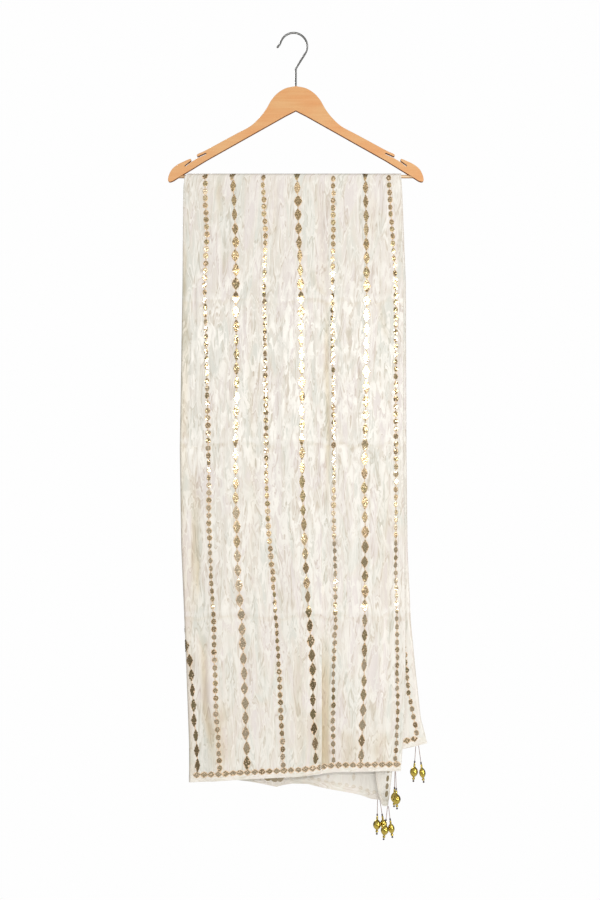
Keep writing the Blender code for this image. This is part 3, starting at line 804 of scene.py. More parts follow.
    def make_bar(self) -> Piece:
        """Turn the dowel between the two arms' sockets, with eased ends.

        Returns:
            The bar.
        """
        ease = self.bar_ease
        ends = np.array([-1.0, -1.0, 1.0, 1.0]) * self.bar_half_length + (0.0, ease, -ease, 0.0)
        path = np.stack([HANGER_X + ends, np.full(4, BAR_LEVEL)], axis=1)
        radii = np.array([BAR_RADIUS - ease, BAR_RADIUS, BAR_RADIUS, BAR_RADIUS - ease])
        bar = mesh_piece("trouser_bar", swept(path, radii, self.bar_sides), capped(4, self.bar_sides))
        bar.data.set_sharp_from_angle(angle=SHARP_ANGLE)
        return bar

    def build(self) -> list[Piece]:
        """Make and dress the hanger.

        Returns:
            Its pieces.
        """
        return [place(self.make_plate(), "hanger_wood", self.finishes.wood, "hanger_frame"),
                place(self.make_hook(), "hook_chrome", self.finishes.chrome, "hanger_hook"),
                place(self.make_bar(), "bar_wood", self.finishes.dowel, "hanger_bar")]


# ======================== how the cloth hangs
WALL = 0.001  # the CAD stretches' thickness, which sets the layers' places
BAR_CLEARANCE = BAR_RADIUS + 0.0003
LAYER_PITCH = 0.0013
TOP_LEVEL = BAR_LEVEL + BAR_CLEARANCE + WALL / 2 + LAYER_PITCH
CREST_RADIUS = TOP_LEVEL - BAR_LEVEL
FOLD_LEAD = 0.002
HEM_WIDTH = 0.012
HEM_LINE_DROP = 1.0
# Drops between which something grows from nothing to all of it.
LAG_DROPS = (0.1, 0.9)
OPENING_DROPS = (0.005, 0.3)
FLARE_DROPS = (0.5, 1.05)

PLEAT_X = 0.0495
PLEAT_RADIUS = 0.0011
PLEAT_TURN_DROPS = (0.64, 0.74)
PLEAT_BACK = 0.012
PLEAT_BACK_DROPS = (0.74, 1.05)

DIAGONAL_X = ((0.8, -0.185), (0.9, -0.151), (0.96, -0.1405), (1.06, -0.139))  # by drop
DIAGONAL_HEIGHT = 0.0026
DIAGONAL_REACH = 0.014
DIAGONAL_DROPS = (0.8, 0.87)


class Face(Enum):
    """Which side of the bar a stretch hangs on; the value is its outward direction along Y."""

    FRONT = -1.0
    BACK = 1.0


class Layer(Enum):
    """Whether a stretch is the outer or the inner layer of its face."""

    OUTER = "outer"
    INNER = "inner"


class Detail(Enum):
    """How finely a side of a stretch is embroidered."""

    SEQUINS = "separate sequins on stitched grounds"
    FOIL = "a flat foil shape for each motif"
    WRONG_SIDE = "small flat marks of the stitching"


@dataclass(frozen=True)
class StoreCrease:
    """A level crease left by folding in store, as a low tent."""

    drop: float
    height: float
    reach: float

    def swell(self, drop: Array) -> Array:
        """Return the tent's height at a drop."""
        return self.height * np.clip(1 - np.abs(drop - self.drop) / self.reach, 0, 1)


@dataclass(frozen=True)
class SoftCrease:
    """A crease from one place to another: a ridge, or a trough below nought.

    One with a shading above nought is painted darker as shade, and below nought lighter as a
    painted highlight. One without height is only painted shade.
    """

    x: float
    drop: float
    end_x: float
    end_drop: float
    height: float
    reach: float
    tone: float

    def bell(self, x: Array, drop: Array) -> Array:
        """Return the crease's share: a bell across its line that fades out at both ends.

        Args:
            x: places across the cloth.
            drop: places down it.

        Returns:
            The share, from 0 to 1 on the line.
        """
        share = (drop - self.drop) / (self.end_drop - self.drop)
        line = self.x + (self.end_x - self.x) * np.clip(share, 0, 1)
        line = line + 0.25 * self.reach * np.sin(9.0 * share + 40.0 * self.x)
        fade = smooth_step(share, -0.12, 0.25) * (1.0 - smooth_step(share, 0.7, 1.12))
        return fade * bell(x - line, self.reach)


STORE_CREASES = (StoreCrease(0.218, 0.0009, 0.01), StoreCrease(0.47, 0.0008, 0.01),
                 StoreCrease(0.772, 0.0012, 0.012))


@dataclass(frozen=True)
class Fall:
    """How the two layers of one face of the cloth hang, the same as in their CAD solids."""

    face: Face
    lag: float
    opening: float
    flare: float
    ripple: float
    ripple_drops: Pair
    waves: tuple[tuple[float, ...], ...]  # share, length, phase, drift
    sides: tuple[tuple[float, ...], ...]  # drop, fold, inner edge, outer edge
    creases: tuple[SoftCrease, ...]

    def side(self, column: int, drop: Array) -> Array:
        """Return a side's x at a drop, straight between the table's rows."""
        table = np.array(self.sides)
        return np.interp(drop, table[:, 0], table[:, column])

    def fold(self, drop: Array) -> Array:
        """Return the x of the lengthwise fold."""
        return self.side(1, drop)

    def free_edge(self, layer: Layer, drop: Array) -> Array:
        """Return the x of a layer's free edge."""
        return self.side(2 if layer is Layer.INNER else 3, drop)

    def depth(self, layer: Layer, drop: Array) -> Array:
        """Give how far a layer's middle stands outwards of the bar's clearance.

        The inner layer lags behind a straight fall, and the outer one opens away from it.

        Args:
            layer: the layer.
            drop: the drops.

        Returns:
            The depths.
        """
        inner = WALL / 2 + self.lag * smooth_step(drop, *LAG_DROPS)
        if layer is Layer.INNER:
            return inner
        return inner + LAYER_PITCH + self.opening * smooth_step(drop, *OPENING_DROPS)

    def relief(self, x: Array, drop: Array) -> Array:
        """Add up the outward swell that both layers share.

        It is upright sine ripples that grow down the cloth, the store creases, the foot's flare
        and, on the front, a bell along the diagonal fold.

        Args:
            x: places across the cloth.
            drop: places down it.

        Returns:
            The swell in metres.
        """
        wave = sum(share * np.sin(2 * math.pi * x / length + phase + drift * drop)
                   for share, length, phase, drift in self.waves)
        swell = self.ripple * smooth_step(drop, *self.ripple_drops) * (1.0 + wave) / 2
        swell = swell + self.flare * smooth_step(drop, *FLARE_DROPS)
        swell = swell + sum(crease.swell(drop) for crease in STORE_CREASES)
        if self.face is Face.FRONT:
            line = np.interp(drop, *np.array(DIAGONAL_X).T)
            grown = smooth_step(drop, *DIAGONAL_DROPS)
            swell = swell + DIAGONAL_HEIGHT * bell(x - line, DIAGONAL_REACH) * grown
        return swell


@dataclass(frozen=True)
class Crinkle:
    """The crushed texture of one stretch: uneven upright folds with finer ones between them."""

    seed: int
    height: float
    broad: Pair = (0.015, 0.075)  # m across and along
    fine: Pair = (0.0075, 0.032)
    drift: Pair = (0.06, 0.11)  # of the sideways shift
    patch: Pair = (0.07, 0.12)  # of the more and the less crushed places
    shift: float = 0.012
    crushing: Pair = (0.55, 0.45)  # everywhere, and more or less in patches
    growth: Pair = (0.75, 0.25)  # near the bar, and below it
    mixture: Pair = (0.6, 0.4)  # of broad folds and fine ones

    def noise(self, x: Array, drop: Array, size: Pair, number: int) -> Array:
        """Return soft noise with cells of a size in metres across and along."""
        return soft_noise(x / size[0], drop / size[1], self.seed + number)

    def swell(self, x: Array, drop: Array) -> Array:
        """Return the crinkle's height.

        A slow noise shifts the places sideways. The broad folds crest where a second noise
        crosses nought, 1 - 2|n|, and a third noise adds the fine ones.

        Args:
            x: places across the cloth.
            drop: places down it.

        Returns:
            The outward swell in metres.
        """
        moved = x + self.shift * self.noise(x, drop, self.drift, 0)
        broad, fine = self.noise(moved, drop, self.broad, 1), self.noise(moved, drop, self.fine, 2)
        crushed = self.crushing[0] + self.crushing[1] * self.noise(x, drop, self.patch, 3)
        near_bar, below = self.growth
        grown = near_bar * smooth_step(drop, 0.004, 0.1) + below * smooth_step(drop, 0.1, 0.3)
        folds = self.mixture[0] * (1 - 2 * np.abs(broad)) + self.mixture[1] * fine
        return self.height * grown * crushed * folds


class Motif(Enum):
    """The motifs of the stripes and of the chain above the hem, each with its sizes in metres."""

    CIRCLE = (0.0083, 0.0099, 0.0132, 1.0)
    DIAMOND = (0.0116, 0.0232, 0.0254, 0.86)
    LOZENGE = (0.01, 0.0128, 0.0128, 0.9)

    def __init__(self, wide: float, long: float, pitch: float, bulge: float) -> None:
        """Keep its width, length, mean pitch and the bulge of its ground's slanted sides."""
        self.wide, self.long, self.pitch, self.bulge = wide, long, pitch, bulge

    @property
    def seats(self) -> Array:
        """Seat a motif's sequins.

        A circle has one in its middle and eight round it. A diamond is a slanted lattice along
        its two pairs of sides, which are bowed outwards.

        Returns:
            Pairs across and along.
        """
        size = (self.wide, self.long)
        if self is Motif.CIRCLE:
            return np.concatenate([[[0.0, 0.0]], circle(8) * size / 3])
        count = 5 if self is Motif.DIAMOND else 3
        a, b = (part.ravel() - (count - 1) / 2 for part in np.meshgrid(*[np.arange(count)] * 2))
        bow = 1.0 + 0.22 * np.abs(np.abs(a) - np.abs(b)) / count
        return np.stack([(a - b) * bow, (a + b) * bow], axis=1) * size / (2 * count)

    @property
    def ground(self) -> Array:
        """Give the stitched ground's middle and eight points round it, just past the sequins.

        Returns:
            Pairs across and along.
        """
        reach = np.where(np.arange(8) % 2 == 0, 1.0, self.bulge)[:, None]
        half = np.array([self.wide, self.long]) / 2 + 0.0008
        return np.concatenate([[[0.0, 0.0]], circle(8) * reach * half])


@dataclass(frozen=True)
class Stripe:
    """One upright stripe of motifs.

    A stripe at the lengthwise fold is hidden between the layers down to its start. Below it, it
    comes round the edge, tucked behind it by a length that fades out at another drop.
    """

    motif: Motif
    first: float  # the drop of its first motif
    scatter: float  # how unevenly its sequins lie
    tints: Pair  # how pale its foil is near the bar and near the hem
    width: float  # of its motifs, as a share of their full width
    drops: Array
    x: Array  # at those drops
    start: float = 0.0
    tuck: float = 0.0
    tuck_end: float = 0.0
    tuck_fade: float = 0.1

    def at(self, drop: Array) -> Array:
        """Return the stripe's x at a drop."""
        return np.interp(drop, self.drops, self.x)

    def tucked(self, drop: Array) -> Array:
        """Return how far it lies behind the fold at a drop."""
        return self.tuck * (1.0 - smooth_step(drop, self.tuck_end - self.tuck_fade, self.tuck_end))

    def tint(self, drop: Array) -> Array:
        """Return how pale its foil is at a drop."""
        near_bar, near_hem = self.tints
        return near_bar + (near_hem - near_bar) * smooth_step(drop, 0.15, 0.7)


@dataclass
class Form:
    """A stretch's middle surface as a grid of points, with what the pieces on it need."""

    points: Array  # rows x columns x 3
    normals: Array  # towards the outside of the hanging cloth
    calm: Array  # the same without the crinkle
    across: Array  # length along each row from its first column
    along: Array  # length down each column from its first row
    drop: Array
    tone: Array  # painted shade at each place, or below nought a painted highlight

    def locate(self, x: Array, drop: Array, first: int, last: int) -> Array:
        """Find the grid places at an x and a drop, in turns: a row, then a column.

        Args:
            x: places across.
            drop: places down.
            first: the first of the columns to look in, which run one way in x.
            last: the last of them.

        Returns:
            Fractional rows and columns.
        """
        columns = np.full(len(x), (first + last) / 2)
        for _ in range(3):
            near = np.clip(np.round(columns).astype(int), 0, self.drop.shape[1] - 1)
            rows = index_at(self.drop[:, near].T, drop)
            columns = first + index_at(between(self.points[:, first:last + 1, 0], rows), x)
        return np.stack([rows, columns])

    def read(self, grid: Array, rows: Array, columns: Array) -> Array:
        """Read a grid of values between its places: the four nearest, weighed by nearness.

        Args:
            grid: the values.
            rows: the places' rows.
            columns: their columns.

        Returns:
            A value for each place.
        """
        top = np.clip(np.floor(rows).astype(int), 0, grid.shape[0] - 2)
        left = np.clip(np.floor(columns).astype(int), 0, grid.shape[1] - 2)
        down, over = np.clip(rows - top, 0, 1), np.clip(columns - left, 0, 1)
        if grid.ndim == 3:
            down, over = down[..., None], over[..., None]
        upper, lower = (grid[row, left] * (1 - over) + grid[row, left + 1] * over
                        for row in (top, top + 1))
        return upper * (1 - down) + lower * down

    def walk(self, rows: Array, columns: Array, over: Array, down: Array) -> Array:
        """Walk from grid places by lengths over and down the cloth.

        The length down runs along the place's own column and the length over along the row that
        it comes to, so a motif keeps its size where the grid is uneven.

        Args:
            rows: the places' rows.
            columns: their columns.
            over: a length across for each.
            down: a length down for each.

        Returns:
            The new rows and columns.
        """
        row = index_at(between(self.along.T, columns), self.read(self.along, rows, columns) + down)
        column = index_at(between(self.across, row), self.read(self.across, row, columns) + over)
        return np.stack([row, column])


@dataclass
class Stretch:
    """One hanging stretch of the cloth: its shell, hem, rolled edge and embroidery."""

    finishes: Finishes
    fall: Fall
    layer: Layer
    hem: Spots  # share of the way across, drop
    flat: Pair  # the cut's width and length
    crinkle: Crinkle
    stripes: tuple[Stripe, ...]
    column_pitch: float
    row_pitch: float
    shell_wall: float = 0.00045
    hem_wall: float = 0.0011
    hem_margins: tuple[float, ...] = (0.01, 0.008, 0.006, 0.004, 0.002, 0.0)
    hem_round: int = 5  # rows round each of the hem's edges
    hem_row: float = 0.0018  # what a row of the hem is on the map
    roll_radius: float = 0.00055
    roll_sides: int = 8
    roll_side: float = 0.0005  # what a side of the rolled edge is on the map
    fold_arc: int = 12
    pleat_arc: int = 6
    crest_rows: int = 9
    held_reach: float = 0.0065  # how far a stitched stripe holds the cloth still
    held_share: float = 0.8
    wander_length: float = 0.021  # of the store creases' lines
    patch_length: float = 0.034  # of what breaks them up
    store_wander: float = 0.006
    store_shade: float = 0.42
    store_shine: float = 0.75
    fold_shade: float = 0.32
    panel_shade: float = 0.85
    form: Form = field(init=False)

    @property
    def name(self) -> str:
        """Return the stretch's name, such as front_outer."""
        return f"{self.fall.face.name.lower()}_{self.layer.value}"

    @property
    def pleated(self) -> bool:
        """Return whether this stretch has the pleat."""
        return self.fall.face is Face.FRONT and self.layer is Layer.OUTER

    @property
    def hem_start(self) -> int:
        """Return the last row above the hem."""
        return len(self.form.points) - len(self.hem_margins) - 1

    def blocks(self) -> list[int]:
        """Count the columns of each block of the section.

        An inner stretch is one run. An outer one has the flat strip beside the fold, the fold's
        half turn and a run, and the front one a run, the pleat and another run.

        Returns:
            The counts, from the fold to the free edge.
        """
        if self.layer is Layer.INNER:
            return [round(self.flat[0] / self.column_pitch)]
        fold = [1, self.fold_arc + 1]
        if not self.pleated:
            return fold + [round(self.flat[0] / self.column_pitch)]
        left = round((PLEAT_X - self.fall.fold(HEM_LINE_DROP)) / self.column_pitch)
        right = round((self.fall.free_edge(self.layer, HEM_LINE_DROP) - PLEAT_X) / self.column_pitch)
        return fold + [left, 2 * self.pleat_arc + 2, right]

    def pleat_lines(self, drop: Array) -> tuple[Array, Array]:
        """Work out the pleat's section at each drop.

        The heading turns to a part of half a turn in equal steps, runs straight and turns back by
        as much. x is measured from the farthest place of the first turn, the visible edge.

        Args:
            drop: the drops.

        Returns:
            x and depth, with the section's points on a last axis.
        """
        turned = math.pi * smooth_step(drop, *PLEAT_TURN_DROPS)[..., None]
        back = PLEAT_BACK * smooth_step(drop, *PLEAT_BACK_DROPS)
        step = PLEAT_RADIUS * math.pi / self.pleat_arc
        half = (np.arange(self.pleat_arc) + 0.5) / self.pleat_arc
        heading = np.concatenate([turned * half, turned, turned * half[::-1]], axis=-1)
        length = np.full(heading.shape, step)
        length[..., self.pleat_arc] = np.maximum(back, step / 4)
        x, depth = (np.concatenate([np.zeros(turned.shape), np.cumsum(length * way, axis=-1)], axis=-1)
                    for way in (np.cos(heading), -np.sin(heading)))
        return x - x[..., :self.pleat_arc + 1].max(axis=-1, keepdims=True), depth

    def section(self, drop: Array) -> tuple[Array, Array, Array]:
        """Return each column's x and depth at its own drop, and how far its crinkle has grown.

        Args:
            drop: rows x columns of drops.

        Returns:
            x, depth outwards from the bar's clearance, and the crinkle's share from 0 to 1.
        """
        counts = self.blocks()
        cuts = np.split(drop, np.cumsum(counts)[:-1], axis=1)
        inner, outer = ([self.fall.depth(layer, cut) for cut in cuts]
                        for layer in (Layer.INNER, Layer.OUTER))
        radius = [(far - near) / 2 for near, far in zip(inner, outer)]
        lead = self.fall.fold(cuts[0]) + radius[0] + FOLD_LEAD

        def run(block: int, start: Array) -> Array:
            """Return a run's x: even steps from its start to the free edge."""
            share = np.arange(1, counts[block] + 1) / counts[block]
            return start + (self.fall.free_edge(self.layer, cuts[block]) - start) * share

        if self.layer is Layer.INNER:
            share = np.linspace(0.0, 1.0, counts[0])
            x = lead + (self.fall.free_edge(self.layer, drop) - lead) * share
            return x, inner[0], smooth_step(x - lead, 0.0, 0.015)
        turn = np.linspace(0.0, math.pi, counts[1])
        xs = [lead, self.fall.fold(cuts[1]) + radius[1] * (1 - np.sin(turn))]
        depths = [inner[0], inner[1] + radius[1] - radius[1] * np.cos(turn), outer[2]]
        start = self.fall.fold(cuts[2]) + radius[2]
        if self.pleated:
            before, pleat, after = (self.pleat_lines(cut) for cut in cuts[2:])
            share = np.arange(1, counts[2] + 1) / (counts[2] + 1)
            pick = np.arange(counts[3])
            xs += [start + (PLEAT_X + before[0][..., 0] - start) * share,
                   PLEAT_X + pleat[0][:, pick, pick], run(4, PLEAT_X + after[0][..., -1])]
            depths += [outer[3] + pleat[1][:, pick, pick], outer[4] + after[1][..., -1]]
        else:
            xs.append(run(2, start))
        grown = np.ones(drop.shape)
        grown[:, :counts[0] + counts[1]] = np.concatenate(
            [[0.0], smooth_step(np.arange(counts[1]), 2.0, counts[1] - 1.0)])
        return np.concatenate(xs, axis=1), np.concatenate(depths, axis=1), grown

    def hem_drop(self, x: Array) -> Array:
        """Read the drop of the hem's lower edge, straight between the table's rows.

        Args:
            x: places across the cloth.

        Returns:
            The drops.
        """
        low = self.hem[-1][1]
        fold, edge = self.fall.fold(low), self.fall.free_edge(self.layer, low)
        return np.interp((x - fold) / (edge - fold), *np.array(self.hem).T)

    def shape(self) -> Form:
        """Work out the middle surface: rows round the bar's upper half, then rows down to the hem.

        Round the bar, a row at turn t lies at the layer's radius times (sin t outwards, cos t up).
        Below it, a point stands outwards by its depth plus the shared relief, the listed
        creases and the crinkle, and hangs at its drop.

        Returns:
            The form.
        """
        outward = self.fall.face.value
        columns = sum(self.blocks())
        turn = np.linspace(0.0, math.pi / 2, self.crest_rows)[:, None]
        crest_drop = np.broadcast_to(CREST_RADIUS * (1 - np.cos(turn)), (self.crest_rows, columns))
        x, depth, _ = self.section(crest_drop)
        reach = BAR_CLEARANCE + depth
        crest = np.stack([x, outward * reach * np.sin(turn), BAR_LEVEL + reach * np.cos(turn)], axis=-1)
        end = self.hem_drop(self.section(np.full((1, columns), HEM_LINE_DROP))[0][0])
        rows = round(self.flat[1] / self.row_pitch)
        share = (np.arange(1, rows + 1) / rows)[:, None]
        drop = np.concatenate([CREST_RADIUS + share * (end - HEM_WIDTH - CREST_RADIUS),
                               end - np.array(self.hem_margins)[:, None]])
        x, depth, grown = self.section(drop)
        creases = [(crease, crease.bell(x, drop)) for crease in self.fall.creases]
        calm_swell = self.fall.relief(x, drop) + grown * sum(c.height * near for c, near in creases)
        swell = calm_swell + grown * self.freedom(x, drop) * self.crinkle.swell(x, drop)
        points, calm = (
            np.concatenate([crest, np.stack([x, outward * (BAR_CLEARANCE + depth + part),
                                             TOP_LEVEL - drop], axis=-1)])
            for part in (swell, calm_swell))
        normals, calm = (
            unit(np.cross(np.gradient(grid, axis=1), np.gradient(grid, axis=0))) * outward
            for grid in (points, calm))
        # Painted shading: the fold's, the store creases' and the soft creases' painted shade and
        # highlights.
        tone = self.fold_tone(x, drop) + self.store_tone(x, drop)
        tone = tone + sum(crease.tone * near for crease, near in creases)
        tone = np.concatenate([np.broadcast_to(tone[:1], crest_drop.shape), tone])
        across, along = (
            np.cumsum(np.linalg.norm(np.diff(points, axis=axis, prepend=start), axis=-1), axis=axis)
            for axis, start in ((1, points[:, :1]), (0, points[:1])))
        return Form(points, normals, calm, across, along, np.concatenate([crest_drop, drop]), tone)

    def freedom(self, x: Array, drop: Array) -> Array:
        """Return how freely the cloth crinkles: less close to a stitched stripe."""
        held = np.max([bell(x - stripe.at(drop), self.held_reach) for stripe in self.stripes], axis=0)
        return 1.0 - self.held_share * held

    def fold_tone(self, x: Array, drop: Array) -> Array:
        """Paint shade on the cloth beside the lengthwise fold and in the pleat's panel.

        The panel lies right of the pleat's edge, on the layer that runs out from under it. The
        other stretches are painted lighter towards their hems, where the layers in front shade them.

        Args:
            x: places across the cloth.
            drop: places down it.

        Returns:
            The painted shading.
        """
        beside = 1.0 - smooth_step(x - self.fall.fold(drop), 0.002, 0.015)
        tone = self.fold_shade * beside * smooth_step(drop, 0.08, 0.3)
        if self.fall.face is Face.BACK:
            tone = tone - 0.75 * smooth_step(drop, 1.0, 1.04)
        elif self.layer is Layer.INNER:
            tone = tone - 0.35 * smooth_step(drop, 0.76, 0.88)
        if self.pleated:
            start = sum(self.blocks()[:4])
            panel = 1.0 - smooth_step(x[:, start:] - PLEAT_X, 0.01, 0.019)
            tone[:, start:] += self.panel_shade * panel * smooth_step(drop[:, start:], 0.79, 0.9)
        return tone

    def store_tone(self, x: Array, drop: Array) -> Array:
        """Paint the store creases: a painted highlight bell with a painted shade bell 7 mm below it.

        Their lines wander by slow noise, and a second noise breaks them up.

        Args:
            x: places across the cloth.
            drop: places down it.

        Returns:
            The painted shading.
        """
        seed = self.crinkle.seed
        wander = self.store_wander * soft_noise(x / self.wander_length, 0.0 * drop, seed + 5)
        patch = 0.55 + 0.45 * soft_noise(x / self.patch_length, drop / 0.5, seed + 6)
        off = [drop - crease.drop - wander for crease in STORE_CREASES]
        return sum(patch * (self.store_shade * bell(away - 0.007, 0.004)
                            - self.store_shine * bell(away, 0.004)) for away in off)

    def make_shell(self) -> Piece:
        """Make the cloth as one surface down to inside its hem, and give it its thin wall.

        Returns:
            The shell.
        """
        rows = self.hem_start + 2
        grid = self.form.points[:rows]
        back = self.fall.face is Face.BACK
        quads = grid_quads(rows, grid.shape[1])
        shell = mesh_piece("silk_" + self.name, grid, [quads if back else quads[:, ::-1]], closed=False)
        lay_uv(shell, self.form.across[:rows], self.form.drop[:rows] + (BACK_START if back else 0.0))
        paint(shell, "tone", self.form.tone[:rows])
        wall = shell.modifiers.new("thin_wall", "SOLIDIFY")
        wall.thickness = self.shell_wall
        wall.offset = 0.0
        return shell

    def make_hem(self) -> Piece:
        """Make the turned hem: a flat tube round the last rows, rounded at both its edges.

        At each column the section runs down the outer side, round the lower edge, up the inner
        side and round the upper edge, half a wall from the middle surface all the way.

        Returns:
            The hem.
        """
        middle, normal = self.form.points[self.hem_start:], self.form.normals[self.hem_start:]
        down = unit(middle[-1] - middle[-2])
        half = self.hem_wall / 2
        turn = np.linspace(0.0, math.pi, self.hem_round + 2)[1:-1, None, None]
        lower = middle[-1] - down * half + half * (np.cos(turn) * normal[-1] + np.sin(turn) * down)
        upper = middle[0] + half * (-np.cos(turn) * normal[0] - np.sin(turn) * down)
        outer, inner = middle + normal * half, middle - normal * half
        outer[-1] -= down * half
        inner[-1] -= down * half
        rings = np.concatenate([outer, lower, inner[::-1], upper]).swapaxes(0, 1)
        hem = mesh_piece("turned_hem_" + self.name, rings, capped(*rings.shape[:2]))
        lay_uv(hem, self.form.across[-1][:, None], np.arange(rings.shape[1]) * self.hem_row)
        return hem

    def make_rolled_edge(self) -> Piece:
        """Roll the free long edge: a thin round along the last column, from the crest to the hem.

        Returns:
            The rolled edge.
        """
        rows, sides = self.hem_start + 1, self.roll_sides
        path, normal = self.form.points[:rows, -1], self.form.normals[:rows, -1]
        beside = np.cross(unit(np.gradient(path, axis=0)), normal)
        roll = mesh_piece("rolled_edge_" + self.name,
                          tube(path, normal, beside, self.roll_radius * circle(sides)),
                          capped(rows, sides))
        lay_uv(roll, np.arange(sides) * self.roll_side, self.form.drop[:rows, -1:])
        return roll

    def build(self) -> list[Piece]:
        """Make and dress the cloth.

        Returns:
            Its shell and the two pieces sewn on it.
        """
        self.form = self.shape()
        return [place(self.make_shell(), "tissue_silk", self.finishes.silk, "cloth_" + self.name),
                place(self.make_hem(), "tissue_hem", self.finishes.hem, "hem_" + self.name),
                place(self.make_rolled_edge(), "tissue_hem", self.finishes.hem)]


# ======================== embroidery
CHAIN_SHORT = {Face.FRONT: 0.0125, Face.BACK: 0.085}  # how much sooner an inner layer's chain ends


@dataclass(frozen=True)
class Row:
    """A row of like motifs on the cloth."""

    motif: Motif
    scatter: float  # how unevenly its sequins lie
    tints: Array  # how pale each motif's foil is
    scales: Array  # each motif's sizes across and along, as shares of its full ones
    rows: Array  # the motifs' places on the grid
    columns: Array

    def spread(self, pattern: Array) -> Array:
        """Return a pattern of pairs for each motif at its scale: motifs x points x 2."""
        return pattern * self.scales[:, None]

    def turned(self, offsets: Array) -> Array:
        """Return offsets the way the motif lies: a lozenge is on its side."""
        return offsets[..., ::-1] if self.motif is Motif.LOZENGE else offsets


